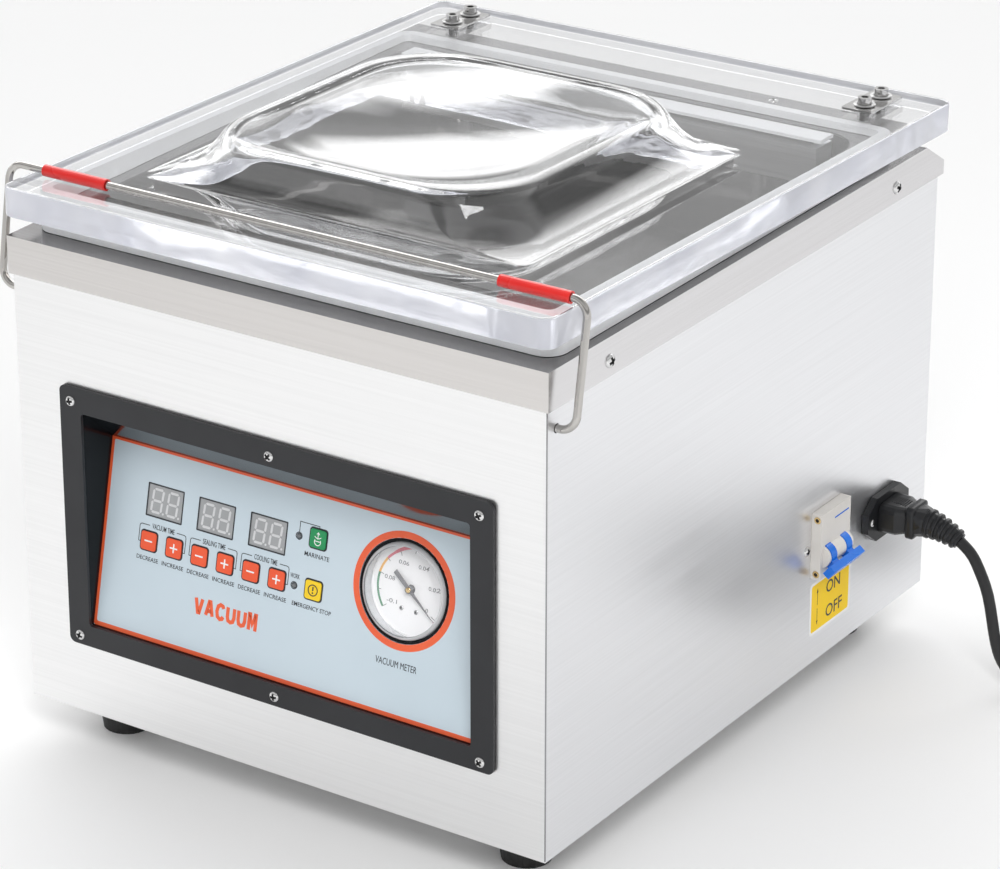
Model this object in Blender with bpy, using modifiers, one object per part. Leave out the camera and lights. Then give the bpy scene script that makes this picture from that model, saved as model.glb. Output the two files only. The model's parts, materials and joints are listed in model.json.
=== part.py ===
"""Table-top chamber vacuum packing machine, built as an assembly of separate pieces.

Metres, +Z up. X runs to the machine's right, Y to its back. The origin is on the floor
under the middle of the cabinet. The lid, the wire bail, the breaker's handle, the keys,
the gauge's needle, the seal bar and the motor's fan move.
"""
import math

import bmesh
import bpy
from mathutils import Matrix, Vector

GAP = 0.0003            # clearance between pieces that touch
SHEET = 0.0012          # stainless sheet

# cabinet and deck
DECK_HALF_X = 0.182
DECK_HALF_Y = 0.2162
DECK_Z = 0.3168
SKIRT_H = 0.0228
CHAMFER_Y = 0.0222      # rear edge of the deck, folded down
CHAMFER_Z = 0.0141
BODY_HALF_X = 0.1799
BODY_FRONT = -0.2141
BODY_BACK = 0.2129
BODY_Z0 = 0.0261

# feet
FOOT_X = 0.1418
FOOT_Y = 0.1738
FOOT_R_TOP = 0.0181
FOOT_R_FLOOR = 0.0145

# vacuum chamber
TUB_HALF_X = 0.160
TUB_Y0 = -0.190
TUB_Y1 = 0.156
TUB_CORNER = 0.022
TUB_DEPTH = 0.050
TUB_DRAFT = 0.004
TUB_FILLET = 0.010
TUB_FLANGE = 0.008

# seal bar
BAR_HALF_X = 0.146
BAR_Y0 = 0.125
BAR_Y1 = 0.143
BAR_Z0 = 0.2945
BAR_Z1 = 0.3172
PISTON_X = 0.105
PISTON_R = 0.006

# lid: u runs back from its front edge, h up from its underside
LID_TILT = math.radians(1.15)
LID_Y0 = -0.2193
LID_Z0 = 0.3296
LID_HALF_X = 0.184
LID_LENGTH = 0.4418
LID_T = 0.0173
LID_CORNER = 0.009
DOME_H = 0.0275
DOME_WALL = 0.004
HINGE_Y = 0.203
HINGE_Z = 0.303
HINGE_X = 0.1465
HINGE_SCREW_U = (0.400, 0.420)
LEAF_U = (0.390, 0.430)
LEAF_T = 0.0035
LUG_HALF_X = 0.004
EYE_R = 0.0055
PIN_R = 0.002
SCREW_R = 0.0025

# wire bail
BAIL_Y = -0.205
BAIL_Z = 0.2813
BAIL_TOP_Y = -0.193
BAIL_TOP_Z = 0.3510
BAIL_RIGHT = 0.1915
BAIL_LEFT = -0.1965
WIRE_R = 0.00225
SLEEVE_R = 0.0035
SLEEVES = {"R": (0.1368, 0.1810), "L": (-0.1708, -0.1263)}

# control panel: v runs up its face, n out of it
BEZEL_X = 0.1478
BEZEL_Z = (0.0711, 0.2340)
OPENING_X = 0.133
OPENING_Z = (0.0844, 0.2187)
PANEL_TILT = math.radians(12.3)
PANEL_Y = -0.2123
PANEL_Z = 0.0851
PANEL_T = 0.0015
PANEL_TOP = 0.1125
DISPLAY_X = (-0.0912, -0.0547, -0.0182)
DISPLAY_V = 0.0818
DISPLAY_SIZE = (0.0250, 0.0187)
KEY_SIZE = 0.0107
KEY_V = 0.0574
ADJUST_KEY_X = [-0.0998 + 0.0182 * k for k in range(6)]
MARINATE_KEY = (0.0161, 0.0871)
STOP_KEY = (0.0165, 0.0574)
LAMPS = ((0.0029, 0.0858), (0.0031, 0.0570))
GAUGE = (0.0759, 0.0719)
GAUGE_HOLE_R = 0.02975
GAUGE_REST = math.radians(-39)

# switch and supply on the right side
NOSE_Y = (0.0723, 0.1073)
NOSE_Z = (0.0838, 0.1256)
NOSE_X = 0.1864
SWITCH_AXIS = (0.1840, 0.0975)
SWITCH_DRUM_R = 0.0075
TOGGLE_Y = (0.0808, 0.0988)
TOGGLE_W = 0.006
INLET_Y = 0.1585
INLET_Z = 0.0951
CORD_R = 0.0035
BEND_X = 0.2045         # the strain relief starts to droop here
BEND_R = 0.0606
BEND_ANGLE = math.radians(28)
COIL_CENTRE = (0.318, 0.205)
COIL_R = 0.040          # middle of its three columns of turns, two layers high
PLUG_AT = math.radians(75)
PLUG_GAP = 0.029        # from the last turn's tangent point to the plug
PLUG_Z = 0.0187

PARTS = bpy.data.collections.new("vacuum_packing_machine")
CUTTERS = bpy.data.collections.new("cutters")


# ---------------------------------------------------------------- helpers

def clear_scene():
    for obj in list(bpy.data.objects):
        bpy.data.objects.remove(obj, do_unlink=True)
    bpy.context.scene.collection.children.link(PARTS)
    bpy.context.scene.collection.children.link(CUTTERS)


def move_to(obj, collection):
    for old in list(obj.users_collection):
        old.objects.unlink(obj)
    collection.objects.link(obj)


def finish(obj, name, colour, roughness, metallic=0.0):
    """Name a piece, give it its material and file it with the parts."""
    obj.name = name
    obj.data.name = name
    paint = bpy.data.materials.new(name + "_finish")
    paint.use_nodes = True
    shader = paint.node_tree.nodes["Principled BSDF"]
    shader.inputs["Base Color"].default_value = (*colour, 1.0)
    shader.inputs["Roughness"].default_value = roughness
    shader.inputs["Metallic"].default_value = metallic
    obj.data.materials.clear()
    obj.data.materials.append(paint)
    move_to(obj, PARTS)
    return obj


def make_cutter(obj, name):
    obj.name = name
    obj.hide_render = True
    obj.display_type = "WIRE"
    move_to(obj, CUTTERS)
    return obj


def boolean(obj, tool, operation):
    step = obj.modifiers.new(operation.lower(), "BOOLEAN")
    step.operation = operation
    step.solver = "EXACT"
    step.object = tool


def cut(obj, tool):
    boolean(obj, make_cutter(tool, obj.name + "_cut"), "DIFFERENCE")


def add(obj, tool):
    boolean(obj, make_cutter(tool, obj.name + "_joined"), "UNION")


def box(low, high):
    centre = (Vector(low) + Vector(high)) / 2
    bpy.ops.mesh.primitive_cube_add(size=1, location=centre)
    obj = bpy.context.object
    obj.scale = Vector(high) - Vector(low)
    bpy.ops.object.transform_apply(location=False, rotation=False, scale=True)
    return obj


def smooth(obj, angle=40):
    obj.data.shade_smooth()
    obj.data.set_sharp_from_angle(angle=math.radians(angle))


def cylinder(radius, start, end, sides=24, end_radius=None):
    """A cylinder or cone from one point to another."""
    start, end = Vector(start), Vector(end)
    bpy.ops.mesh.primitive_cone_add(
        vertices=sides,
        radius1=radius,
        radius2=radius if end_radius is None else end_radius,
        depth=(end - start).length,
    )
    obj = bpy.context.object
    obj.location = (start + end) / 2
    obj.rotation_euler = (end - start).to_track_quat("Z", "Y").to_euler()
    smooth(obj)
    return obj


def rounded(x0, x1, y0, y1, radius, steps=6):
    """Outline of a rectangle with round corners, anticlockwise."""
    corners = ((x1, y1, 0), (x0, y1, 90), (x0, y0, 180), (x1, y0, 270))
    points = []
    for x, y, first in corners:
        cx = x - math.copysign(radius, x - (x0 + x1) / 2)
        cy = y - math.copysign(radius, y - (y0 + y1) / 2)
        for k in range(steps + 1):
            turn = math.radians(first + 90 * k / steps)
            points.append((cx + radius * math.cos(turn), cy + radius * math.sin(turn)))
    return points


def circle(x, y, radius, steps=24):
    turns = [2 * math.pi * k / steps for k in range(steps)]
    return [(x + radius * math.cos(a), y + radius * math.sin(a)) for a in turns]


def mesh_from_curve(curve_obj):
    """Swap a curve object for a closed mesh object in the same place."""
    bpy.context.scene.collection.objects.link(curve_obj)
    bpy.context.view_layer.update()
    ready = curve_obj.evaluated_get(bpy.context.evaluated_depsgraph_get())
    mesh = bpy.data.meshes.new_from_object(ready)
    work = bmesh.new()
    work.from_mesh(mesh)
    bmesh.ops.remove_doubles(work, verts=work.verts, dist=1e-6)
    bmesh.ops.recalc_face_normals(work, faces=work.faces)
    work.to_mesh(mesh)
    work.free()
    obj = bpy.data.objects.new(curve_obj.name, mesh)
    obj.matrix_world = curve_obj.matrix_world
    bpy.context.scene.collection.objects.link(obj)
    bpy.data.objects.remove(curve_obj, do_unlink=True)
    return obj


def plate(outlines, low, high):
    """A flat piece in XY between two heights; outlines after the first are holes."""
    curve = bpy.data.curves.new("outline", "CURVE")
    curve.dimensions = "2D"
    curve.fill_mode = "BOTH"
    curve.extrude = (high - low) / 2
    for outline in outlines:
        line = curve.splines.new("POLY")
        line.points.add(len(outline) - 1)
        for point, (x, y) in zip(line.points, outline):
            point.co = (x, y, 0, 1)
        line.use_cyclic_u = True
    obj = bpy.data.objects.new("outline", curve)
    obj.location.z = (low + high) / 2
    return mesh_from_curve(obj)


def side_plate(outline_yz, x0, x1):
    """A prism along X whose side view is the given outline."""
    obj = plate([outline_yz], x0, x1)
    turn = Matrix(((0, 0, 1, 0), (1, 0, 0, 0), (0, 1, 0, 0), (0, 0, 0, 1)))
    obj.matrix_world = turn @ obj.matrix_world
    return obj


def tube(points, radius, rings=2):
    """A wire along points that already lie on a smooth curve."""
    curve = bpy.data.curves.new("wire", "CURVE")
    curve.dimensions = "3D"
    curve.bevel_depth = radius
    curve.bevel_resolution = rings
    curve.use_fill_caps = True
    line = curve.splines.new("POLY")
    line.points.add(len(points) - 1)
    for point, place in zip(line.points, points):
        point.co = (*place, 1)
    obj = mesh_from_curve(bpy.data.objects.new("wire", curve))
    smooth(obj)
    return obj


def turned(profile, steps=32):
    """A solid of revolution about Z from (radius, height) points, outer side downwards."""
    mesh = bpy.data.meshes.new("profile")
    edges = [(k, k + 1) for k in range(len(profile) - 1)]
    if profile[0][0] > 0:
        edges.append((len(profile) - 1, 0))
    mesh.from_pydata([(r, 0, z) for r, z in profile], edges, [])
    obj = bpy.data.objects.new("profile", mesh)
    bpy.context.scene.collection.objects.link(obj)
    spin = obj.modifiers.new("spin", "SCREW")
    spin.steps = steps
    spin.render_steps = steps
    spin.use_merge_vertices = True
    spin.merge_threshold = 0.00001
    return obj


def loft(rings, joined=False):
    """Faces between rings of equally many points: capped, or joined last to first."""
    work = bmesh.new()
    rows = [[work.verts.new(p) for p in ring] for ring in rings]
    pairs = list(zip(rows, rows[1:]))
    if joined:
        pairs.append((rows[-1], rows[0]))
    for low, high in pairs:
        for k in range(len(low)):
            nxt = (k + 1) % len(low)
            work.faces.new((low[k], low[nxt], high[nxt], high[k]))
    if not joined:
        work.faces.new(list(reversed(rows[0])))
        work.faces.new(rows[-1])
    bmesh.ops.recalc_face_normals(work, faces=work.faces)
    mesh = bpy.data.meshes.new("loft")
    work.to_mesh(mesh)
    work.free()
    obj = bpy.data.objects.new("loft", mesh)
    bpy.context.scene.collection.objects.link(obj)
    return obj


def ring_at(outline, z):
    return [(x, y, z) for x, y in outline]


def hang_on(obj, empty):
    """Parent a piece to an empty; its own transform is then in the empty's frame."""
    obj.parent = empty
    return obj


def empty_at(name, place, rotation=(0, 0, 0)):
    obj = bpy.data.objects.new(name, None)
    obj.location = place
    obj.rotation_euler = rotation
    PARTS.objects.link(obj)
    return obj


# ---------------------------------------------------------------- cabinet

STEEL = (0.62, 0.62, 0.61)
BLACK = (0.02, 0.02, 0.022)


def remove_faces(obj, unwanted):
    """Delete the faces whose normal matches one of the given directions."""
    work = bmesh.new()
    work.from_mesh(obj.data)
    gone = [f for f in work.faces if any(f.normal.dot(Vector(n)) > 0.9 for n in unwanted)]
    bmesh.ops.delete(work, geom=gone, context="FACES")
    work.to_mesh(obj.data)
    work.free()


def solidify(obj, thickness):
    shell = obj.modifiers.new("sheet", "SOLIDIFY")
    shell.thickness = thickness
    shell.offset = -1
    shell.use_even_offset = True


def build_cabinet():
    obj = box((-BODY_HALF_X, BODY_FRONT, BODY_Z0), (BODY_HALF_X, BODY_BACK, DECK_Z - SHEET - GAP))
    remove_faces(obj, [(0, 1, 0), (0, 0, 1), (0, 0, -1)])
    solidify(obj, SHEET)
    finish(obj, "cabinet", STEEL, 0.32, 1.0)
    wall = 0.0022
    cut(obj, box((-OPENING_X - wall, BODY_FRONT - 0.01, OPENING_Z[0] - wall),
                 (OPENING_X + wall, BODY_FRONT + 0.01, OPENING_Z[1] + wall + GAP)))
    cut(obj, cylinder(WIRE_R + 0.0005, (-0.2, BAIL_Y, BAIL_Z), (0.2, BAIL_Y, BAIL_Z), 16))
    cut(obj, box((0.17, NOSE_Y[0] - GAP, NOSE_Z[0] - GAP), (0.19, NOSE_Y[1] + GAP, NOSE_Z[1] + GAP)))
    cut(obj, box((0.17, INLET_Y - 0.0140, INLET_Z - 0.0105), (0.19, INLET_Y + 0.0140, INLET_Z + 0.0105)))
    clear = SHEET + 2 * GAP
    slope = CHAMFER_Z / CHAMFER_Y
    front, back = DECK_HALF_Y - CHAMFER_Y - 0.01, DECK_HALF_Y + 0.01
    low_front = DECK_Z - clear * math.hypot(1, slope) + 0.01 * slope
    low_back = DECK_Z - clear * math.hypot(1, slope) - (CHAMFER_Y + 0.01) * slope
    cut(obj, side_plate([(front, low_front), (back, low_back), (back, 0.34), (front, 0.34)], -0.2, 0.2))


def build_base_plate():
    edge = BODY_HALF_X - SHEET - GAP
    obj = box((-edge, BODY_FRONT + SHEET + GAP, BODY_Z0), (edge, BODY_BACK - SHEET - GAP, BODY_Z0 + 0.012))
    remove_faces(obj, [(0, 0, 1)])
    solidify(obj, SHEET)
    finish(obj, "base_plate", STEEL, 0.4, 1.0)
    for k in range(5):
        x = -0.06 + 0.03 * k
        cut(obj, box((x - 0.003, 0.10, 0.02), (x + 0.003, 0.16, 0.03)))


def build_rear_panel():
    edge = BODY_HALF_X - SHEET - GAP
    obj = box((-edge, BODY_BACK - SHEET, BODY_Z0 + GAP), (edge, BODY_BACK, 0.298))
    finish(obj, "rear_panel", STEEL, 0.35, 1.0)
    for k in range(6):
        z = 0.130 + 0.012 * k
        cut(obj, box((-0.06, BODY_BACK - 0.01, z - 0.002), (0.06, BODY_BACK + 0.01, z + 0.002)))


def build_top_deck():
    low = DECK_Z - SKIRT_H
    obj = box((-DECK_HALF_X, -DECK_HALF_Y, low), (DECK_HALF_X, DECK_HALF_Y, DECK_Z))
    work = bmesh.new()
    work.from_mesh(obj.data)
    where = Vector((0, DECK_HALF_Y - CHAMFER_Y, DECK_Z)) - obj.location
    slope = Vector((0, CHAMFER_Z, CHAMFER_Y)).normalized()
    every = work.verts[:] + work.edges[:] + work.faces[:]
    sliced = bmesh.ops.bisect_plane(work, geom=every, plane_co=where, plane_no=slope, clear_outer=True)
    edges = [e for e in sliced["geom_cut"] if isinstance(e, bmesh.types.BMEdge)]
    bmesh.ops.contextual_create(work, geom=edges)
    bmesh.ops.recalc_face_normals(work, faces=work.faces)
    work.to_mesh(obj.data)
    work.free()
    remove_faces(obj, [(0, 0, -1)])
    solidify(obj, SHEET)
    finish(obj, "top_deck", STEEL, 0.3, 1.0)
    opening = rounded(-TUB_HALF_X, TUB_HALF_X, TUB_Y0, TUB_Y1, TUB_CORNER)
    cut(obj, plate([opening], DECK_Z - 0.01, DECK_Z + 0.01))
    for side in (-1, 1):
        x = side * HINGE_X
        cut(obj, box((x - 0.006, HINGE_Y - 0.0075, 0.299), (x + 0.006, 0.23, 0.33)))


def tub_outline(grow):
    return rounded(-TUB_HALF_X - grow, TUB_HALF_X + grow, TUB_Y0 - grow, TUB_Y1 + grow, TUB_CORNER + grow)


def build_chamber_tub():
    """Drawn tub: a flange under the deck, drafted walls, a filleted floor."""
    top = DECK_Z - SHEET - GAP
    floor = DECK_Z - TUB_DEPTH
    rings = [ring_at(tub_outline(TUB_FLANGE), top), ring_at(tub_outline(-GAP), top)]
    wall = -GAP - TUB_DRAFT
    for k in range(5):
        turn = math.radians(90 * k / 4)
        inset = TUB_FILLET * (1 - math.cos(turn))
        rings.append(ring_at(tub_outline(wall - inset), floor + TUB_FILLET * (1 - math.sin(turn))))
    obj = loft(rings)
    remove_flange_cap(obj)
    skin = obj.modifiers.new("sheet", "SOLIDIFY")
    skin.thickness = 0.001
    skin.offset = 1
    skin.use_even_offset = True
    finish(obj, "chamber_tub", (0.66, 0.66, 0.65), 0.12, 1.0)
    cut(obj, cylinder(0.004, (-0.10, -0.10, floor - 0.01), (-0.10, -0.10, floor + 0.01), 16))


def remove_flange_cap(obj):
    """Open the loft at its first ring and turn its faces towards the outside."""
    work = bmesh.new()
    work.from_mesh(obj.data)
    cap = max((f for f in work.faces if len(f.verts) > 4), key=lambda f: f.calc_center_median().z)
    bmesh.ops.delete(work, geom=[cap], context="FACES_ONLY")
    bmesh.ops.recalc_face_normals(work, faces=work.faces)
    lowest = min(work.faces, key=lambda f: f.calc_center_median().z)
    if lowest.normal.z > 0:
        bmesh.ops.reverse_faces(work, faces=work.faces)
    work.to_mesh(obj.data)
    work.free()


def build_feet():
    for name, x, y in (("FL", -1, -1), ("FR", 1, -1), ("RL", -1, 1), ("RR", 1, 1)):
        place = Vector((x * FOOT_X, y * FOOT_Y, 0))
        top = place + Vector((0, 0, BODY_Z0 - GAP))
        obj = cylinder(FOOT_R_FLOOR, place, top, 28, FOOT_R_TOP)
        finish(obj, "foot_" + name, BLACK, 0.7)


# ---------------------------------------------------------------- seal bar

def build_seal_bar():
    obj = box((-BAR_HALF_X, BAR_Y0, BAR_Z0), (BAR_HALF_X, BAR_Y1, BAR_Z1))
    finish(obj, "seal_bar", (0.72, 0.73, 0.74), 0.35, 1.0)
    middle = (BAR_Y0 + BAR_Y1) / 2
    for side in (-1, 1):
        x = side * PISTON_X
        cut(obj, cylinder(PISTON_R + GAP, (x, middle, BAR_Z0 - 0.01), (x, middle, 0.312), 20))
    strip = box((-0.140, middle - 0.0025, BAR_Z1 + GAP), (0.140, middle + 0.0025, BAR_Z1 + GAP + 0.0005))
    finish(strip, "heating_strip", (0.35, 0.25, 0.16), 0.5)
    floor = DECK_Z - TUB_DEPTH
    for name, side in (("L", -1), ("R", 1)):
        x = side * PISTON_X
        piston = cylinder(PISTON_R, (x, middle, floor + GAP), (x, middle, 0.308), 20)
        finish(piston, "seal_piston_" + name, (0.7, 0.7, 0.7), 0.3, 1.0)


# ---------------------------------------------------------------- lid

def lid_frame():
    """The lid's empty on the hinge axis, and the axis in the lid's own u and h."""
    dy, dz = HINGE_Y - LID_Y0, HINGE_Z - LID_Z0
    u = dy * math.cos(LID_TILT) - dz * math.sin(LID_TILT)
    h = dy * math.sin(LID_TILT) + dz * math.cos(LID_TILT)
    empty = empty_at("lid_axis", (0, HINGE_Y, HINGE_Z), (-LID_TILT, 0, 0))
    return empty, u, h


def dome_ring(t, height, inset, uh):
    """Outline of the dome: t is 0 at its foot and 1 at the edge of its flat top."""
    def mix(a, b):
        return a + (b - a) * t
    half = mix(0.130, 0.099) - inset
    first, last = mix(0.0595, 0.070) + inset, mix(0.2925, 0.284) - inset
    corner = max(mix(0.028, 0.052) - inset, 0.006)
    outline = rounded(-half, half, first - uh[0], last - uh[0], corner)
    return ring_at(outline, height - uh[1])


DOME_PROFILE = ((0, 0), (0.30, 0.10), (0.58, 0.34), (0.78, 0.64), (0.90, 0.86), (1.02, 0.97), (1.25, 1.0))


def build_lid(empty, uh):
    """Thick clear plate with a hollow blown dome, as one closed skin."""
    def slab(z):
        outline = rounded(-LID_HALF_X, LID_HALF_X, -uh[0], LID_LENGTH - uh[0], LID_CORNER)
        return ring_at(outline, z - uh[1])
    rings = [dome_ring(t, LID_T + DOME_H * k, 0, uh) for t, k in reversed(DOME_PROFILE)]
    rings += [slab(LID_T), slab(0)]
    rings += [dome_ring(0, 0, DOME_WALL, uh)]
    rings += [dome_ring(t, LID_T - DOME_WALL + DOME_H * k, DOME_WALL, uh) for t, k in DOME_PROFILE]
    obj = hang_on(loft(rings), empty)
    finish(obj, "lid", (0.86, 0.88, 0.93), 0.05)
    for side in (-1, 1):
        for u in HINGE_SCREW_U:
            place = Vector((side * HINGE_X, u - uh[0], -uh[1]))
            tool = cylinder(SCREW_R + GAP, place - Vector((0, 0, 0.01)), place + Vector((0, 0, 0.03)), 16)
            cut(obj, hang_on(tool, empty))


def build_gasket(empty, uh):
    """Soft ring under the lid, a wedge because the lid rests nearer the deck at its back."""
    def under(outline):
        points = []
        for x, v in outline:
            drop = DECK_Z + GAP - LID_Z0 + (v + uh[0]) * math.sin(LID_TILT)
            points.append((x, v, drop / math.cos(LID_TILT) - uh[1]))
        return points
    outer = rounded(-0.1755, 0.1755, 0.0190 - uh[0], 0.3880 - uh[0], 0.012)
    inner = rounded(-0.1685, 0.1685, 0.0260 - uh[0], 0.3810 - uh[0], 0.005)
    top = -GAP - uh[1]
    obj = hang_on(loft([under(outer), ring_at(outer, top), ring_at(inner, top), under(inner)], True), empty)
    finish(obj, "lid_gasket", (0.88, 0.89, 0.90), 0.55)


def build_seal_pad(empty, uh):
    obj = box((-0.148, 0.3455 - uh[0], -0.0023 - uh[1]), (0.148, 0.3605 - uh[0], -GAP - uh[1]))
    finish(hang_on(obj, empty), "lid_seal_pad", (0.80, 0.81, 0.82), 0.6)


def build_hinges(empty, uh):
    u0, u1 = LEAF_U
    for name, side in (("L", -1), ("R", 1)):
        x = side * HINGE_X
        holes = [circle(x, u - uh[0], SCREW_R + GAP, 16) for u in HINGE_SCREW_U]
        rim = rounded(x - 0.0102, x + 0.0102, u0 - uh[0], 0.428 - uh[0], 0.001, 2)
        top = LID_T + GAP - uh[1]
        cover = plate([rim] + holes, top, top + SHEET)
        finish(hang_on(cover, empty), "hinge_plate_" + name, STEEL, 0.25, 1.0)

        rim = rounded(x - 0.0100, x + 0.0100, u0 - uh[0], u1 - uh[0], 0.001, 2)
        leaf = plate([rim] + holes, -GAP - LEAF_T - uh[1], -GAP - uh[1])
        finish(hang_on(leaf, empty), "hinge_leaf_" + name, STEEL, 0.35, 1.0)
        lug = box((x - LUG_HALF_X, -0.005, 0), (x + LUG_HALF_X, 0.005, 0.0002 - GAP - LEAF_T - uh[1]))
        add(leaf, hang_on(lug, empty))
        add(leaf, hang_on(cylinder(EYE_R, (x - LUG_HALF_X, 0, 0), (x + LUG_HALF_X, 0, 0), 20), empty))
        cut(leaf, hang_on(cylinder(PIN_R + GAP, (x - 0.01, 0, 0), (x + 0.01, 0, 0), 16), empty))
        build_bracket(name, x)
        build_hinge_screws(name, x, empty, uh)


def build_bracket(name, x):
    """Two cheeks with the hinge pin, on a foot fixed to the rear panel."""
    near, far = LUG_HALF_X + 0.0004, LUG_HALF_X + 0.0024
    back = BODY_BACK - SHEET - GAP
    obj = box((x - far, back - 0.0015, 0.2700), (x + far, back, 0.2960))
    finish(obj, "hinge_bracket_" + name, STEEL, 0.4, 1.0)
    add(obj, box((x - far, 0.1965, 0.2875), (x + far, back - 0.0005, 0.2895)))
    for side in (-1, 1):
        a, b = sorted((x + side * near, x + side * far))
        add(obj, box((a, 0.1965, 0.2880), (b, 0.2085, 0.3057)))
    add(obj, cylinder(PIN_R, (x - far, HINGE_Y, HINGE_Z), (x + far, HINGE_Y, HINGE_Z), 16))


def build_hinge_screws(name, x, empty, uh):
    seat = LID_T + 2 * GAP + SHEET - uh[1]
    for count, u in enumerate(HINGE_SCREW_U, start=1):
        v = u - uh[0]
        screw = cylinder(SCREW_R, (x, v, 0.0010 - LEAF_T - uh[1]), (x, v, seat + 0.001), 16)
        finish(hang_on(screw, empty), f"hinge_screw_{name}{count}", (0.55, 0.54, 0.52), 0.25, 1.0)
        add(screw, hang_on(cylinder(0.00425, (x, v, seat), (x, v, seat + 0.005), 20), empty))
        cut(screw, hang_on(cylinder(0.0024, (x, v, seat + 0.002), (x, v, seat + 0.01), 6), empty))


# ---------------------------------------------------------------- wire bail

def arc(centre, start, end, steps):
    """Points of a quarter turn about a centre, from one direction to the other."""
    turns = [math.pi / 2 * k / steps for k in range(steps + 1)]
    return [centre + start * math.cos(a) + end * math.sin(a) for a in turns]


def build_bail():
    """One bent wire: a stub in each side, two legs, and the bar across the lid."""
    axis = empty_at("bail_axis", (0, BAIL_Y, BAIL_Z))
    rise = Vector((0, BAIL_TOP_Y - BAIL_Y, BAIL_TOP_Z - BAIL_Z))
    height = rise.length
    up = rise.normalized()
    across = Vector((1, 0, 0))
    bend = 0.0095
    points = [Vector((BAIL_RIGHT - 0.017, 0, 0))]
    points += arc(across * (BAIL_RIGHT - bend) + up * bend, -up * bend, across * bend, 5)
    points += arc(across * (BAIL_RIGHT - bend) + up * (height - bend), across * bend, up * bend, 5)
    points += arc(across * (BAIL_LEFT + bend) + up * (height - bend), up * bend, -across * bend, 5)
    points += arc(across * (BAIL_LEFT + bend) + up * bend, -across * bend, -up * bend, 5)
    points.append(Vector((BAIL_LEFT + 0.022, 0, 0)))
    wire = hang_on(tube(points, WIRE_R), axis)
    finish(wire, "bail_wire", (0.60, 0.58, 0.55), 0.2, 1.0)
    for name, (x0, x1) in SLEEVES.items():
        sleeve = cylinder(SLEEVE_R, rise + across * x0, rise + across * x1, 20)
        finish(hang_on(sleeve, axis), "bail_sleeve_" + name, (0.80, 0.03, 0.02), 0.3)
        hole = cylinder(WIRE_R + GAP, rise + across * (x0 - 0.01), rise + across * (x1 + 0.01), 16)
        cut(sleeve, hang_on(hole, axis))


# ---------------------------------------------------------------- control panel

def build_bezel():
    outer = rounded(-BEZEL_X, BEZEL_X, *BEZEL_Z, 0.004)
    inner = rounded(-OPENING_X, OPENING_X, *OPENING_Z, 0.002, 3)
    back = BODY_FRONT - GAP
    obj = plate([outer, inner], -back, -back + 0.0022)
    obj.matrix_world = Matrix.Rotation(math.pi / 2, 4, "X") @ obj.matrix_world
    finish(obj, "panel_bezel", (0.045, 0.048, 0.052), 0.4)


def on_panel(v, n):
    """World Y and Z of a point v up the panel's face and n out of it."""
    s, c = math.sin(PANEL_TILT), math.cos(PANEL_TILT)
    return PANEL_Y + v * s - n * c, PANEL_Z + v * c + n * s


def build_housing():
    """Black tunnel from the front opening back to the sloping panel."""
    wall = 0.0016
    face = BODY_FRONT - GAP
    inner_low, inner_top = on_panel(-0.0007, 0), on_panel(PANEL_TOP, 0)
    outer_low, outer_top = on_panel(-0.0007 - wall, 0), on_panel(PANEL_TOP + wall, 0)
    outline = [(face + GAP, OPENING_Z[0] - wall), outer_low, outer_top, (face + GAP, OPENING_Z[1] + wall)]
    obj = side_plate(outline, -OPENING_X - wall, OPENING_X + wall)
    finish(obj, "control_housing", BLACK, 0.12)
    deeper_low, deeper_top = on_panel(-0.0007, -0.01), on_panel(PANEL_TOP, -0.01)
    tool = [(face - 0.01, inner_low[1]), inner_low, deeper_low, deeper_top, inner_top,
            (face, OPENING_Z[1]), (face - 0.01, OPENING_Z[1])]
    cut(obj, side_plate(tool, -OPENING_X, OPENING_X))


def window(x, v, width, height, radius=0.0, grow=GAP):
    half_x, half_v = width / 2 + grow, height / 2 + grow
    if radius:
        return rounded(x - half_x, x + half_x, v - half_v, v + half_v, radius + grow, 3)
    return [(x + half_x, v + half_v), (x - half_x, v + half_v),
            (x - half_x, v - half_v), (x + half_x, v - half_v)]


def key_places():
    places = {}
    for k, x in enumerate(ADJUST_KEY_X):
        places[f"key_{('vacuum', 'seal', 'cool')[k // 2]}_{('less', 'more')[k % 2]}"] = (x, KEY_V)
    places["key_marinate"] = MARINATE_KEY
    places["key_stop"] = STOP_KEY
    return places


def build_panel(frame):
    rim = window(0, 0.0568, 0.2690, 0.1166, grow=0)
    holes = [window(x, DISPLAY_V, *DISPLAY_SIZE) for x in DISPLAY_X]
    holes += [window(x, v, KEY_SIZE, KEY_SIZE, 0.0015) for x, v in key_places().values()]
    holes += [circle(x, v, 0.0018, 16) for x, v in LAMPS]
    holes.append(circle(*GAUGE, GAUGE_HOLE_R, 40))
    obj = plate([rim] + holes, -GAP - PANEL_T, -GAP)
    finish(hang_on(obj, frame), "control_panel", (0.58, 0.67, 0.72), 0.35)
    for k, x in enumerate(DISPLAY_X, start=1):
        display = plate([window(x, DISPLAY_V, *DISPLAY_SIZE, grow=0)], -0.0060, -0.0006)
        finish(hang_on(display, frame), f"display_{k}", (0.45, 0.45, 0.46), 0.25)
    for name, (x, v) in key_places().items():
        colour = (0.80, 0.13, 0.03)
        if name == "key_marinate":
            colour = (0.02, 0.35, 0.14)
        if name == "key_stop":
            colour = (0.85, 0.47, 0.04)
        key = plate([window(0, 0, KEY_SIZE, KEY_SIZE, 0.0015, grow=0)], -0.0030, 0.0004)
        key.location += Vector((x, v, 0))
        finish(hang_on(key, frame), name, colour, 0.4)
    board = box((-0.118, 0.045, -0.0086), (0.040, 0.100, -0.0070))
    finish(hang_on(board, frame), "control_board", (0.03, 0.14, 0.05), 0.5)


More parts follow.
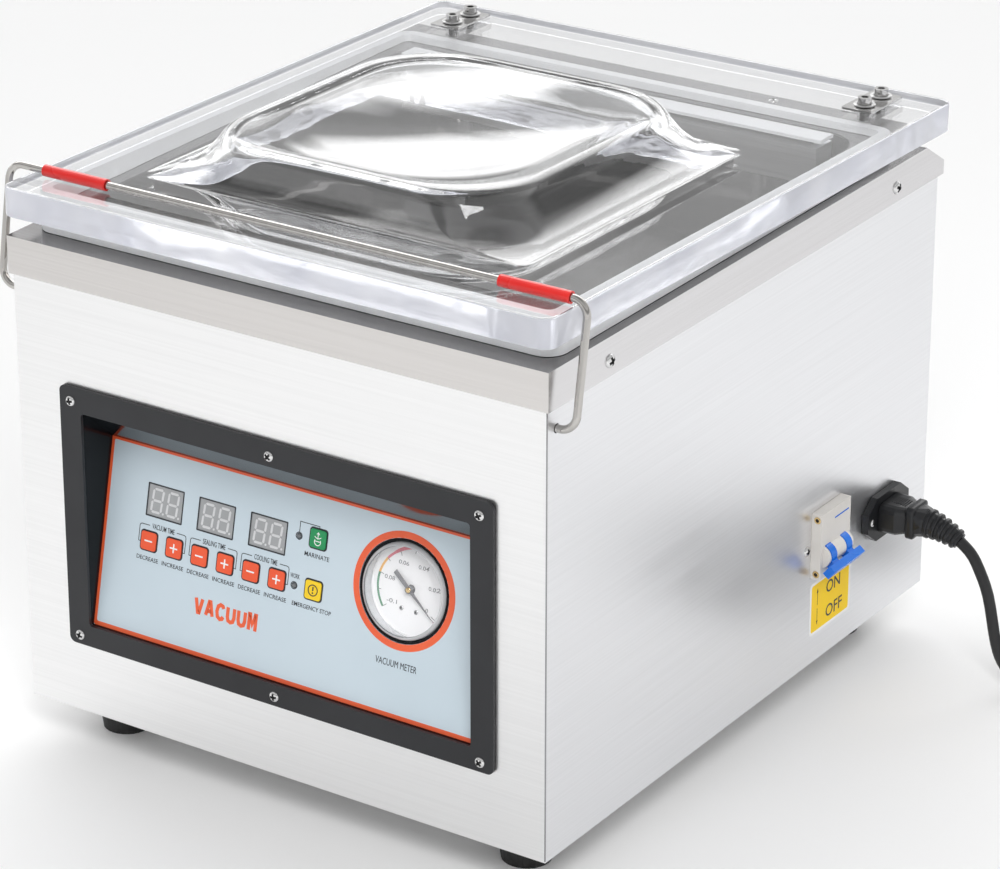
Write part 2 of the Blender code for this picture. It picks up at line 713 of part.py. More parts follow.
def build_gauge(frame):
    x, v = GAUGE
    case = turned([(0, -0.0260), (0.0282, -0.0260), (0.0282, 0.0), (0.0292, 0.0),
                   (0.0292, -0.0270), (0, -0.0270)], 40)
    case.location = (x, v, 0)
    finish(hang_on(case, frame), "gauge_case", BLACK, 0.3)
    dial = plate([circle(0, 0, 0.0278, 40), circle(0, 0, 0.0026, 16)], -0.0087, -0.0080)
    dial.location += Vector((x, v, 0))
    finish(hang_on(dial, frame), "gauge_dial", (0.86, 0.86, 0.84), 0.5)
    swell = [(0.0278 * math.sin(a), math.cos(a)) for a in [math.radians(18 * k) for k in range(6)]]
    top = [(r, -0.0012 + 0.0046 * c) for r, c in swell]
    under = [(r * 0.95, -0.0026 + 0.0046 * c) for r, c in reversed(swell)]
    lens = turned(top + under, 40)
    lens.location = (x, v, 0)
    finish(hang_on(lens, frame), "gauge_lens", (0.92, 0.93, 0.94), 0.05)
    build_needle(frame)


def build_needle(frame):
    tip, tail = 0.0226, -0.0133
    shape = [(tip, 0.0), (0.0, 0.0011), (tail, 0.0014), (tail, -0.0014), (0.0, -0.0011)]
    needle = plate([shape], -0.0062, -0.0057)
    needle.location += Vector((*GAUGE, 0))
    needle.rotation_euler.z = GAUGE_REST
    finish(hang_on(needle, frame), "gauge_needle", (0.35, 0.36, 0.37), 0.4, 0.3)
    hub = cylinder(0.0022, (*GAUGE, -0.0120), (*GAUGE, -0.0047), 16)
    add(needle, hang_on(hub, frame))


# ---------------------------------------------------------------- switch and supply

def build_breaker():
    body = box((0.125, NOSE_Y[0], 0.066), (BODY_HALF_X - SHEET - GAP, NOSE_Y[1], 0.146))
    finish(body, "breaker_body", (0.62, 0.58, 0.54), 0.45)
    add(body, box((0.170, NOSE_Y[0], NOSE_Z[0]), (NOSE_X, NOSE_Y[1], NOSE_Z[1])))
    x, z = SWITCH_AXIS
    add(body, cylinder(0.0070, (x, NOSE_Y[0] + 0.003, z), (x, NOSE_Y[1] - 0.003, z), 28))
    for y in TOGGLE_Y:
        half = TOGGLE_W / 2 + GAP
        cut(body, cylinder(SWITCH_DRUM_R + GAP, (x, y - half, z), (x, y + half, z), 28))


def build_handle():
    """Two round toggles tied by a bar; it points down and out while switched off."""
    x, z = SWITCH_AXIS
    axis = empty_at("switch_axis", (x, 0, z))
    reach = Vector((0.0082, 0, -0.0064))
    outward = reach.normalized()
    sideways = Vector((-outward.z, 0, outward.x))
    low, high = TOGGLE_Y[0] - TOGGLE_W / 2, TOGGLE_Y[1] + TOGGLE_W / 2

    def slab(centre, half_out, half_side, y0, y1):
        corners = [(1, 1), (-1, 1), (-1, -1), (1, -1)]
        outline = [centre + outward * (half_out * a) + sideways * (half_side * b) for a, b in corners]
        rings = [[(p.x, y, p.z) for p in outline] for y in (y0, y1)]
        return loft(rings)

    handle = slab(reach * 1.06, 0.0024, 0.0036, NOSE_Y[0] - 0.0005, NOSE_Y[1] + 0.0005)
    finish(hang_on(handle, axis), "breaker_handle", (0.01, 0.20, 0.72), 0.3)
    for y in TOGGLE_Y:
        half = TOGGLE_W / 2
        drum = cylinder(SWITCH_DRUM_R, (0, y - half, 0), (0, y + half, 0), 24)
        add(handle, hang_on(drum, axis))
        add(handle, hang_on(slab(reach * 0.6, 0.0050, 0.0028, y - half, y + half), axis))


def build_inlet():
    """Appliance inlet: an eared flange outside, a socket body inside."""
    ear, tall, half = 0.0060, 0.0140, 0.0250
    outline = [(half, ear), (0.0145, tall), (-0.0145, tall), (-half, ear),
               (-half, -ear), (-0.0145, -tall), (0.0145, -tall), (half, -ear)]
    outline = [(INLET_Y + y, INLET_Z + z) for y, z in outline]
    face = BODY_HALF_X + GAP
    obj = side_plate(outline, face, face + 0.0045)
    finish(obj, "power_inlet", BLACK, 0.3)
    add(obj, box((0.152, INLET_Y - 0.0136, INLET_Z - 0.0102), (face + 0.001, INLET_Y + 0.0136, INLET_Z + 0.0102)))
    cut(obj, box((0.168, INLET_Y - 0.0122, INLET_Z - 0.0084), (0.195, INLET_Y + 0.0122, INLET_Z + 0.0084)))


def along_bend(s):
    """Centre and slope of the connector's middle line, a distance past its droop's start."""
    turn = s / BEND_R
    return BEND_X + BEND_R * math.sin(turn), INLET_Z - BEND_R * (1 - math.cos(turn)), turn


def connector_section(x, z, lean, half_y, half_z, roundness):
    """A squared or round ring across the connector, leaning with its middle line."""
    corner = min(half_y, half_z) * roundness
    outline = rounded(-half_y, half_y, -half_z, half_z, corner, 3)
    return [(x + h * math.sin(lean), INLET_Y + y, z + h * math.cos(lean)) for y, h in outline]


def build_connector():
    face = BODY_HALF_X + GAP + 0.0045 + GAP
    nose = box((0.1700, INLET_Y - 0.0119, INLET_Z - 0.0081), (face + 0.001, INLET_Y + 0.0119, INLET_Z + 0.0081))
    rings = [connector_section(x, INLET_Z, 0, half_y, half_z, 0.5) for x, half_y, half_z in (
        (face, 0.0135, 0.0095), (face + 0.010, 0.0130, 0.0092), (0.2020, 0.0085, 0.0080), (BEND_X, 0.0092, 0.0090))]
    length = BEND_R * BEND_ANGLE
    for k, radius in enumerate((0.0092, 0.0070, 0.0064, 0.0058, 0.0052)):
        rings.append(connector_section(*along_bend(0.006 + (length - 0.006) * k / 4), radius, radius, 0.98))
    obj = loft(rings)
    finish(obj, "power_connector", BLACK, 0.4)
    add(obj, nose)


def smooth_route(stops, spacing):
    """Points a given distance apart on a centripetal curve through the stops."""
    knots = [stops[0] * 2 - stops[1]] + stops + [stops[-1] * 2 - stops[-2]]
    fine = []
    for p0, p1, p2, p3 in zip(knots, knots[1:], knots[2:], knots[3:]):
        for k in range(24):
            t = k / 24
            fine.append(0.5 * (2 * p1 + (p2 - p0) * t + (2 * p0 - 5 * p1 + 4 * p2 - p3) * t * t
                               + (3 * p1 - p0 - 3 * p2 + p3) * t ** 3))
    fine.append(stops[-1])
    length = sum((b - a).length for a, b in zip(fine, fine[1:]))
    count = round(length / spacing)
    step = length / count
    points, walked = [fine[0]], 0.0
    for a, b in zip(fine, fine[1:]):
        walked += (b - a).length
        if walked >= step * len(points) - 1e-9 and len(points) <= count:
            points.append(b)
    points[-1] = stops[-1]
    return points


CORD_STOPS = [
    (0.2335, 0.1585, 0.0877),
    (0.2400, 0.1584, 0.0826),
    (0.2455, 0.1583, 0.0750),
    (0.2534, 0.1581, 0.0575),
    (0.2602, 0.1580, 0.0276),
    (0.2666, 0.1580, 0.0146),
    (0.2769, 0.1580, 0.0067),
    (0.2890, 0.1580, 0.0039),
    (0.2914, 0.1580, 0.0038),
]


def build_cord():
    stops = [Vector(p) for p in CORD_STOPS]
    cord = tube(smooth_route(stops, 0.008), CORD_R, 2)
    finish(cord, "power_cord", BLACK, 0.45)
    cx, cy = COIL_CENTRE
    inner, outer, top = COIL_R - 3 * CORD_R, COIL_R + 3 * CORD_R, 4 * CORD_R + GAP
    ring = turned([(inner, top), (outer, top), (outer, GAP), (inner, GAP)], 40)
    ring.location = (cx, cy, 0)
    finish(ring, "cord_coil", BLACK, 0.45)


def build_plug():
    """Moulded two-pin plug lying on its side, in line with the end of the last turn."""
    outward = Vector((math.cos(PLUG_AT), math.sin(PLUG_AT), 0))
    along = Vector((-outward.y, outward.x, 0))
    start = Vector((*COIL_CENTRE, PLUG_Z)) + outward * (COIL_R + 2 * CORD_R) + along * PLUG_GAP
    plug = cylinder(0.0048, start, start + along * 0.025, 24, 0.0080)
    finish(plug, "wall_plug", BLACK, 0.4)
    add(plug, cylinder(0.0080, start + along * 0.0245, start + along * 0.039, 24, 0.0185))
    add(plug, cylinder(0.0185, start + along * 0.0385, start + along * 0.058, 24))
    for side in (-1, 1):
        root = start + along * 0.057 + outward * (side * 0.0095)
        add(plug, cylinder(0.0024, root, root + along * 0.020, 12))


# ---------------------------------------------------------------- vacuum pump and power supply

def build_pump():
    floor = BODY_Z0 + SHEET + GAP
    body = box((-0.120, -0.055, floor), (-0.020, 0.055, floor + 0.100))
    finish(body, "pump_body", (0.30, 0.31, 0.33), 0.5, 0.6)
    for x in (-0.095, -0.045):
        add(body, cylinder(0.018, (x, 0, floor + 0.09), (x, 0, floor + 0.125), 20))
    centre = floor + 0.052
    motor = cylinder(0.048, (-0.020 + GAP, 0, centre), (0.080, 0, centre), 32)
    finish(motor, "pump_motor", (0.12, 0.13, 0.15), 0.45, 0.4)
    cut(motor, cylinder(0.0046, (0.068, 0, centre), (0.09, 0, centre), 16))
    build_fan(centre)


def build_fan(centre):
    blades = []
    for k in range(7):
        for turn, radius in ((-0.30, 0.012), (-0.18, 0.042), (0.18, 0.042), (0.30, 0.012)):
            angle = 2 * math.pi * k / 7 + turn
            blades.append((radius * math.cos(angle), radius * math.sin(angle)))
    fan = plate([blades], -0.004, 0.004)
    fan.matrix_world = Matrix.Translation((0.089, 0, centre)) @ Matrix.Rotation(math.pi / 2, 4, "Y")
    finish(fan, "motor_fan", (0.05, 0.05, 0.05), 0.5)
    add(fan, cylinder(0.0040, (0.070, 0, centre), (0.092, 0, centre), 16))


def build_transformer():
    floor = BODY_Z0 + SHEET + GAP
    core = box((-0.160, 0.110, floor), (-0.100, 0.165, floor + 0.055))
    finish(core, "transformer", (0.10, 0.10, 0.11), 0.5, 0.5)
    add(core, box((-0.150, 0.100, floor + 0.010), (-0.110, 0.175, floor + 0.045)))


def build_machine():
    clear_scene()
    build_cabinet()
    build_base_plate()
    build_rear_panel()
    build_top_deck()
    build_chamber_tub()
    build_feet()
    build_seal_bar()
    empty, u, h = lid_frame()
    build_lid(empty, (u, h))
    build_gasket(empty, (u, h))
    build_seal_pad(empty, (u, h))
    build_hinges(empty, (u, h))
    build_bail()
    build_bezel()
    build_housing()
    frame = empty_at("panel_frame", (0, PANEL_Y, PANEL_Z), (math.pi / 2 - PANEL_TILT, 0, 0))
    build_panel(frame)
    build_gauge(frame)
    build_breaker()
    build_handle()
    build_inlet()
    build_connector()
    build_cord()
    build_plug()
    build_pump()
    build_transformer()


build_machine()
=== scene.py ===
"""Table-top chamber vacuum packing machine: the looks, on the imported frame. Metres, +Z up."""
import json
import math

import bmesh
import bpy
from mathutils import Matrix, Vector


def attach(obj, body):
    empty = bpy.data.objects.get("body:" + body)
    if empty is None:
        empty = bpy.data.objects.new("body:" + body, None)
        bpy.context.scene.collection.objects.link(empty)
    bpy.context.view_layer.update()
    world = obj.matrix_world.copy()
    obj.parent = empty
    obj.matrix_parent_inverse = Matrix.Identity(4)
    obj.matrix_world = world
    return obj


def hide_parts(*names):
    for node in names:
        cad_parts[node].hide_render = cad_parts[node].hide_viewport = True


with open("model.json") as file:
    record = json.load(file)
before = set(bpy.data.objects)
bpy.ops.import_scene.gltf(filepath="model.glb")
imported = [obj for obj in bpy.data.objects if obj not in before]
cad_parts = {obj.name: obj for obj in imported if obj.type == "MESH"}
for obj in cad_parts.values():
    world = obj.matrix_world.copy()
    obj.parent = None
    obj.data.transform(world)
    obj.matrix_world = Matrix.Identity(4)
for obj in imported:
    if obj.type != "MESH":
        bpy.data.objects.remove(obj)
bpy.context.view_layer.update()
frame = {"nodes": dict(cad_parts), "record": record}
NODES = frame["nodes"]


def link(obj):
    bpy.context.scene.collection.objects.link(obj)
    return obj


# -------- materials and their nodes

FINISHES = {}     # every material by name, filled as they are made
EVEN = (1, 1, 1)  # a noise that is not stretched
WHITE = (1, 1, 1)
ACRYLIC_IOR = 1.49
# Sockets of a Mix node by number, since their names repeat: colours, then plain values.
COLOUR_A, COLOUR_B, COLOUR_OUT = 6, 7, 2
VALUE_A, VALUE_B, VALUE_OUT = 2, 3, 0


def node(tree, kind):
    return tree.nodes.new("ShaderNode" + kind)


def put(item, **values):
    """Set a node's input sockets; an underscore in a name stands for a space."""
    for label, value in values.items():
        item.inputs[label.replace("_", " ")].default_value = value


def finish_of(name, **sockets):
    """A new material's node tree and its shader, with some of the shader's sockets set."""
    material = FINISHES[name] = bpy.data.materials.new(name)
    material.use_nodes = True
    shader = material.node_tree.nodes["Principled BSDF"]
    put(shader, **sockets)
    return material.node_tree, shader


def noise_of(tree, scale, grain, detail):
    """A noise in object space, stretched by grain; it runs from about 0.3 to 0.7."""
    where = node(tree, "TexCoord")
    stretch = node(tree, "Mapping")
    put(stretch, Scale=grain)
    noise = node(tree, "TexNoise")
    put(noise, Scale=scale, Detail=detail)
    tree.links.new(where.outputs["Object"], stretch.inputs["Vector"])
    tree.links.new(stretch.outputs["Vector"], noise.inputs["Vector"])
    return noise.outputs["Fac"]


def spread(tree, source, low, high, first=0.3, last=0.7):
    """A value that runs from low to high while its source runs from first to last."""
    span = node(tree, "MapRange")
    put(span, From_Min=first, From_Max=last, To_Min=low, To_Max=high)
    tree.links.new(source, span.inputs["Value"])
    return span.outputs["Result"]


def colour_mix(tree, blend="MIX"):
    mix = node(tree, "Mix")
    mix.data_type, mix.blend_type = "RGBA", blend
    return mix


def blend_colours(tree, factor, dark, light):
    mix = colour_mix(tree)
    mix.inputs[COLOUR_A].default_value = (*dark, 1)
    mix.inputs[COLOUR_B].default_value = (*light, 1)
    tree.links.new(factor, mix.inputs[0])
    return mix.outputs[COLOUR_OUT]


def facing_part(tree, axis, first, last):
    """A value from 0 to 1 as a face turns toward one of the axes."""
    shape = node(tree, "NewGeometry")
    split = node(tree, "SeparateXYZ")
    tree.links.new(shape.outputs["Normal"], split.inputs[0])
    return spread(tree, split.outputs[axis], 0, 1, first, last)


def relief(tree, shader, source, height):
    bump = node(tree, "Bump")
    put(bump, Distance=height, Strength=1.0)
    tree.links.new(source, bump.inputs["Height"])
    tree.links.new(bump.outputs["Normal"], shader.inputs["Normal"])


# -------- camera, floor and light

CAMERA_AT = (1.25066, -1.87768, 1.14976)
CAMERA_RIGHT = Vector((0.80286953, 0.59572841, -0.02254284))
CAMERA_DOWN = Vector((0.21281286, -0.32172238, -0.92260793))
SENSOR, LENS = 36.0, 149.08  # millimetres
SHIFT_X, SHIFT_Y = 0.2429, -0.0738
SEES_TO = 50


def build_camera():
    ahead = CAMERA_RIGHT.cross(CAMERA_DOWN).normalized()
    turn = Matrix((CAMERA_RIGHT, -CAMERA_DOWN, -ahead)).transposed()
    data = bpy.data.cameras.new("camera")
    data.sensor_width, data.lens = SENSOR, LENS
    data.shift_x, data.shift_y = SHIFT_X, SHIFT_Y
    data.clip_end = SEES_TO
    camera = link(bpy.data.objects.new("camera", data))
    camera.matrix_world = Matrix.Translation(CAMERA_AT) @ turn.to_4x4()
    bpy.context.scene.camera = camera


FLOOR_REACH = 9.0
FLOOR_COLOUR, FLOOR_ROUGHNESS = (0.93, 0.93, 0.93, 1), 0.9


def build_floor():
    mesh = bpy.data.meshes.new("floor")
    corners = [(x * FLOOR_REACH, y * FLOOR_REACH, 0) for x, y in ((-1, -1), (1, -1), (1, 1), (-1, 1))]
    mesh.from_pydata(corners, [], [(0, 1, 2, 3)])
    floor = link(bpy.data.objects.new("floor", mesh))
    finish_of("floor_finish", Base_Color=FLOOR_COLOUR, Roughness=FLOOR_ROUGHNESS)
    mesh.materials.append(FINISHES["floor_finish"])


# Brightness of the studio at each height, as the sine of the height: a pale cove, a darker
# wall above it, a faint glow higher up and a dim ceiling. Behind the machine hang a low
# strip light and a large soft box, with the wall showing between them.
STUDIO_STRENGTH = 4.0
STUDIO = ((0, 0.25), (0.2, 0.25), (0.29, 0.1), (0.45, 0.09), (0.56, 0.2), (0.88, 0.15), (0.97, 0.08))
BACK = ((0, 0.1), (0.05, 0.2), (0.11, 0.55), (0.22, 0.55), (0.265, 0.17),
        (0.34, 0.15), (0.38, 0.15), (0.42, 0.8), (0.76, 0.8), (0.86, 0.1))
BACK_WAY = (-0.603, 0.797, 0.0)
BACK_FROM, BACK_FULL = 0.45, 0.65  # cosines off that way where the back begins and rules
KEY_AT, KEY_AIM = (1.1, -1.3, 1.7), (0, 0, 0.2)
KEY_SIDE, KEY_POWER = 0.9, 20


def build_light():
    world = bpy.data.worlds.new("studio")
    world.use_nodes = True
    tree = world.node_tree
    back = tree.nodes["Background"]
    put(back, Strength=STUDIO_STRENGTH)
    where = node(tree, "TexCoord")
    split = node(tree, "SeparateXYZ")
    tree.links.new(where.outputs["Generated"], split.inputs[0])
    mix = colour_mix(tree)
    for table, socket in ((STUDIO, COLOUR_A), (BACK, COLOUR_B)):
        ramp = node(tree, "ValToRGB")
        stops = ramp.color_ramp.elements
        while len(stops) < len(table):
            stops.new(1.0)
        for stop, (height, level) in zip(stops, table):
            stop.position = height
            stop.color = (level, level, level, 1)
        tree.links.new(split.outputs["Z"], ramp.inputs[0])
        tree.links.new(ramp.outputs["Color"], mix.inputs[socket])
    behind = node(tree, "VectorMath")
    behind.operation = "DOT_PRODUCT"
    behind.inputs[1].default_value = BACK_WAY
    tree.links.new(where.outputs["Generated"], behind.inputs[0])
    tree.links.new(spread(tree, behind.outputs["Value"], 0, 1, BACK_FROM, BACK_FULL), mix.inputs[0])
    tree.links.new(mix.outputs[COLOUR_OUT], back.inputs["Color"])
    bpy.context.scene.world = world
    data = bpy.data.lights.new("key", "AREA")
    data.shape = "RECTANGLE"
    data.size, data.size_y = KEY_SIDE, KEY_SIDE
    data.energy = KEY_POWER
    lamp = link(bpy.data.objects.new("key", data))
    lamp.location = KEY_AT
    lamp.visible_glossy = False
    lamp.rotation_euler = (Vector(KEY_AIM) - lamp.location).to_track_quat("-Z", "Y").to_euler()
    bpy.context.scene.view_settings.view_transform = "Standard"


build_camera()
build_floor()
build_light()


# -------- mesh helpers

CRISP = 40         # degrees: a sharper edge stays crisp under smooth shading
BEVEL_FROM = 35    # degrees: a sharper edge is rounded
MITRE_LEAST = 0.5  # a corner of a line grows to no more than one over this


def smooth_group(crisp):
    """Smooth shading, with edges sharper than a number of degrees kept crisp."""
    group = bpy.data.node_groups.new(f"smooth_by_{crisp}", "GeometryNodeTree")
    group.interface.new_socket("Geometry", in_out="INPUT", socket_type="NodeSocketGeometry")
    group.interface.new_socket("Geometry", in_out="OUTPUT", socket_type="NodeSocketGeometry")
    start, end = group.nodes.new("NodeGroupInput"), group.nodes.new("NodeGroupOutput")
    angle = group.nodes.new("GeometryNodeInputMeshEdgeAngle")
    below = group.nodes.new("FunctionNodeCompare")
    below.data_type, below.operation = "FLOAT", "LESS_THAN"
    put(below, B=math.radians(crisp))
    edges = group.nodes.new("GeometryNodeSetShadeSmooth")
    edges.domain = "EDGE"
    faces = group.nodes.new("GeometryNodeSetShadeSmooth")
    group.links.new(angle.outputs["Unsigned Angle"], below.inputs["A"])
    group.links.new(start.outputs[0], faces.inputs["Geometry"])
    group.links.new(faces.outputs["Geometry"], edges.inputs["Geometry"])
    group.links.new(below.outputs["Result"], edges.inputs["Shade Smooth"])
    group.links.new(edges.outputs["Geometry"], end.inputs[0])
    return group


SMOOTH = smooth_group(CRISP)


def soften(obj, width=0.0):
    """Round a piece's edges and shade it smooth, without touching its own mesh."""
    if width:
        bevel = obj.modifiers.new("edges", "BEVEL")
        bevel.width, bevel.segments = width, 2
        bevel.limit_method, bevel.angle_limit = "ANGLE", math.radians(BEVEL_FROM)
        bevel.miter_outer = "MITER_ARC"
    obj.modifiers.new("smooth", "NODES").node_group = SMOOTH
    return obj


def loft(rings, loop=False, caps=True):
    """Vertices and faces of a skin over rings that all have the same count of points."""
    count, last = len(rings[0]), len(rings) - 1
    verts = [tuple(p) for ring in rings for p in ring]
    spans = [(k, k + 1) for k in range(last)] + ([(last, 0)] if loop else [])
    faces = []
    for a, b in spans:
        for k in range(count):
            n = (k + 1) % count
            faces.append((a * count + k, a * count + n, b * count + n, b * count + k))
    if caps and not loop:
        faces.append(tuple(reversed(range(count))))
        faces.append(tuple(last * count + k for k in range(count)))
    return verts, faces


def lathe(profile, sides, loop=False):
    """A turned shape; with loop its profile closes on itself and leaves a hole."""
    turns = [2 * math.pi * k / sides for k in range(sides)]
    rings = [[(r * math.cos(a), r * math.sin(a), h) for a in turns] for r, h in profile]
    return loft(rings, loop, not loop)


def prism(outline, low, high):
    return loft([[(x, y, low) for x, y in outline], [(x, y, high) for x, y in outline]])


def gather(parts):
    """Several skins as one."""
    verts, faces = [], []
    for more, skins in parts:
        shift = len(verts)
        verts += more
        faces += [tuple(i + shift for i in face) for face in skins]
    return verts, faces


def solid(name, skin, place=None, weld=True):
    """A piece from vertices and faces, its normals outward, shaded smooth."""
    place = place or Matrix()
    mesh = bpy.data.meshes.new(name)
    mesh.from_pydata([place @ Vector(v) for v in skin[0]], [], skin[1])
    work = bmesh.new()
    work.from_mesh(mesh)
    if weld:
        bmesh.ops.remove_doubles(work, verts=work.verts, dist=1e-6)
        bmesh.ops.dissolve_degenerate(work, edges=work.edges, dist=1e-7)
    bmesh.ops.recalc_face_normals(work, faces=work.faces)
    work.to_mesh(mesh)
    work.free()
    return soften(link(bpy.data.objects.new(name, mesh)))


def final_mesh(obj):
    """The mesh of an object with its modifiers applied; the object itself goes."""
    bpy.context.view_layer.update()
    mesh = bpy.data.meshes.new_from_object(obj.evaluated_get(bpy.context.evaluated_depsgraph_get()))
    bpy.data.objects.remove(obj)
    return mesh


def carve(obj, tool):
    """Cut the tool's shape out of a piece."""
    cutter = obj.modifiers.new("carve", "BOOLEAN")
    cutter.operation, cutter.object = "DIFFERENCE", tool
    name = obj.name
    mesh = final_mesh(obj)
    bpy.data.objects.remove(tool)
    mesh.name = name
    return link(bpy.data.objects.new(name, mesh))


def rounded(x0, x1, y0, y1, radius, steps=6):
    """Outline of a rectangle with round corners, anticlockwise."""
    points = []
    for x, y, first in ((x1, y1, 0), (x0, y1, 90), (x0, y0, 180), (x1, y0, 270)):
        cx = x - math.copysign(radius, x - (x0 + x1) / 2)
        cy = y - math.copysign(radius, y - (y0 + y1) / 2)
        for k in range(steps + 1):
            turn = math.radians(first + 90 * k / steps)
            points.append((cx + radius * math.cos(turn), cy + radius * math.sin(turn)))
    return points


def band(outer, inner, low, high):
    """A flat ring between two outlines of the same count of points."""
    return loft([[(x, y, z) for x, y in line] for line, z in
                 ((outer, low), (outer, high), (inner, high), (inner, low))], loop=True)


def stroke(points, width, low, high):
    """A flat line of one width through points in the plane."""
    points = [Vector(p) for p in points]
    rings = []
    for k, p in enumerate(points):
        before, after = points[max(k - 1, 0)], points[min(k + 1, len(points) - 1)]
        a, b = (p - before), (after - p)
        a = a.normalized() if a.length else b.normalized()
        b = b.normalized() if b.length else a
        side = Vector((-(a + b).y, (a + b).x)).normalized()
        reach = width / 2 / max(side.dot(Vector((-a.y, a.x))), MITRE_LEAST)
        left, right = p + side * reach, p - side * reach
        rings.append([(left.x, left.y, low), (right.x, right.y, low),
                      (right.x, right.y, high), (left.x, left.y, high)])
    return loft(rings)


def arc(x, y, radius, first, last, steps):
    turns = [math.radians(first + (last - first) * k / steps) for k in range(steps + 1)]
    return [(x + radius * math.cos(a), y + radius * math.sin(a)) for a in turns]


def circle(x, y, radius, steps):
    return arc(x, y, radius, 0, 360, steps)[:-1]


def letters(text, x0, x1, y0, y1, low, high, bold=0.006):
    """Solid letters that fill a box in the plane."""
    data = bpy.data.curves.new("letters", "FONT")
    data.body, data.extrude, data.offset, data.resolution_u = text, 0.5, bold, 3
    mesh = final_mesh(link(bpy.data.objects.new("letters", data)))
    verts = [v.co.copy() for v in mesh.vertices]
    faces = [tuple(p.vertices) for p in mesh.polygons]
    bpy.data.meshes.remove(mesh)
    lows = [min(v[k] for v in verts) for k in range(3)]
    highs = [max(v[k] for v in verts) for k in range(3)]
    box = ((x0, x1), (y0, y1), (low, high))
    fitted = [tuple(a + (b - a) * (v[k] - lows[k]) / (highs[k] - lows[k]) for k, (a, b) in enumerate(box))
              for v in verts]
    return fitted, faces


# The lines of each big letter, in a box from 0 to 1.
GLYPHS = {
    "V": (((0, 1), (0.4, 0.02), (0.6, 0.02), (1, 1)),),
    "A": (((0, 0), (0.4, 0.98), (0.6, 0.98), (1, 0)), ((0.2, 0.32), (0.8, 0.32))),
    "C": (((1, 0.78), (0.86, 0.94), (0.5, 1), (0.14, 0.86), (0, 0.5),
           (0.14, 0.14), (0.5, 0), (0.86, 0.06), (1, 0.22)),),
    "U": (((0, 1), (0, 0.34), (0.14, 0.08), (0.5, 0), (0.86, 0.08), (1, 0.34), (1, 1)),),
    "M": (((0, -0.1), (0, 1), (0.14, 1), (0.5, 0.3), (0.86, 1), (1, 1), (1, -0.1)),),
}


def big_word(text, x0, x1, y0, y1, width, low, high):
    """A heavy word drawn with one broad stroke."""
    step, margin = (x1 - x0) / len(text), width * 0.65
    wide, tall = step - margin * 2, y1 - y0 - width
    parts = []
    for k, letter in enumerate(text):
        for line in GLYPHS[letter]:
            points = [(x0 + step * k + margin + wide * x, y0 + width / 2 + tall * y) for x, y in line]
            parts.append(stroke(points, width, low, high))
    return gather(parts)


def tube(points, radius, sides):
    """A round tube along points."""
    points = [Vector(p) for p in points]
    ahead = (points[1] - points[0]).normalized()
    side = ahead.orthogonal().normalized()
    rings = []
    for k, p in enumerate(points):
        along = (points[min(k + 1, len(points) - 1)] - points[max(k - 1, 0)]).normalized()
        side = (side - along * side.dot(along)).normalized()
        up = along.cross(side)
        turns = [2 * math.pi * n / sides for n in range(sides)]
        rings.append([p + (side * math.cos(a) + up * math.sin(a)) * radius for a in turns])
    return loft(rings)


def facing(place, normal, spin=0.0):
    """A frame at a place whose Z looks along a direction."""
    turn = Vector(normal).to_track_quat("Z", "Y").to_matrix().to_4x4()
    return Matrix.Translation(place) @ turn @ Matrix.Rotation(math.radians(spin), 4, "Z")


# -------- the cord

CORD_R = 0.0035
EXIT = Vector((0.23295, 0.1585, 0.088))
RUN_STOPS = [
    EXIT,
    (0.24, 0.1584, 0.0826),
    (0.2455, 0.1583, 0.075),
    (0.2534, 0.1581, 0.0575),
    (0.2602, 0.158, 0.0276),
    (0.2666, 0.158, 0.0146),
    (0.2769, 0.158, 0.0067),
    (0.289, 0.158, 0.0039),
    (0.305, 0.158, 0.0038),
    (0.318, 0.158, 0.0038),
]
COIL_CENTRE = Vector((0.318, 0.205, 0))
COIL_COLUMNS = (0.047, 0.04, 0.033)
COIL_LAYERS = (0.0038, 0.0108)
COIL_WHOLE = 5   # whole turns, before the last part of one
CROSSING = 0.82  # share of a turn where the cord starts to cross to its next column
PLUG_AT = math.radians(75)
PLUG_Z, PLUG_GAP = 0.0187, 0.029


def through(stops, per_span):
    """Points on a smooth curve through the stops, with an equal count between each pair."""
    stops = [Vector(p) for p in stops]
    knots = [stops[0] * 2 - stops[1]] + stops + [stops[-1] * 2 - stops[-2]]
    points = []
    for p0, p1, p2, p3 in zip(knots, knots[1:], knots[2:], knots[3:]):
        for k in range(per_span):
            t = k / per_span
            points.append(0.5 * (2 * p1 + (p2 - p0) * t + (2 * p0 - 5 * p1 + 4 * p2 - p3) * t * t
                                 + (3 * p1 - p0 - 3 * p2 + p3) * t ** 3))
    points.append(stops[-1])
    return points


def smoothstep(t):
    t = min(max(t, 0.0), 1.0)
    return t * t * (3 - 2 * t)


def coil_points(per_turn):
    """Two flat layers of turns: in from the outer column, up, and out again."""
    outer, middle, inner = COIL_COLUMNS
    low, high = COIL_LAYERS
    turns = [(outer, low), (middle, low), (inner, low), (inner, high), (middle, high), (outer, high)]
    last = math.radians(360 * COIL_WHOLE) + PLUG_AT + math.pi / 2
    count = round(per_turn * last / (2 * math.pi))
    points = []
    for k in range(1, count + 1):
        turned = last * k / count
        whole = min(int(turned / (2 * math.pi)), COIL_WHOLE)
        share = turned / (2 * math.pi) - whole
        after = turns[min(whole + 1, COIL_WHOLE)]
        mix = smoothstep((share - CROSSING) / (1 - CROSSING))
        radius = turns[whole][0] * (1 - mix) + after[0] * mix
        height = turns[whole][1] * (1 - mix) + after[1] * mix
        angle = turned - math.pi / 2
        points.append(COIL_CENTRE + Vector((radius * math.cos(angle), radius * math.sin(angle), height)))
    return points


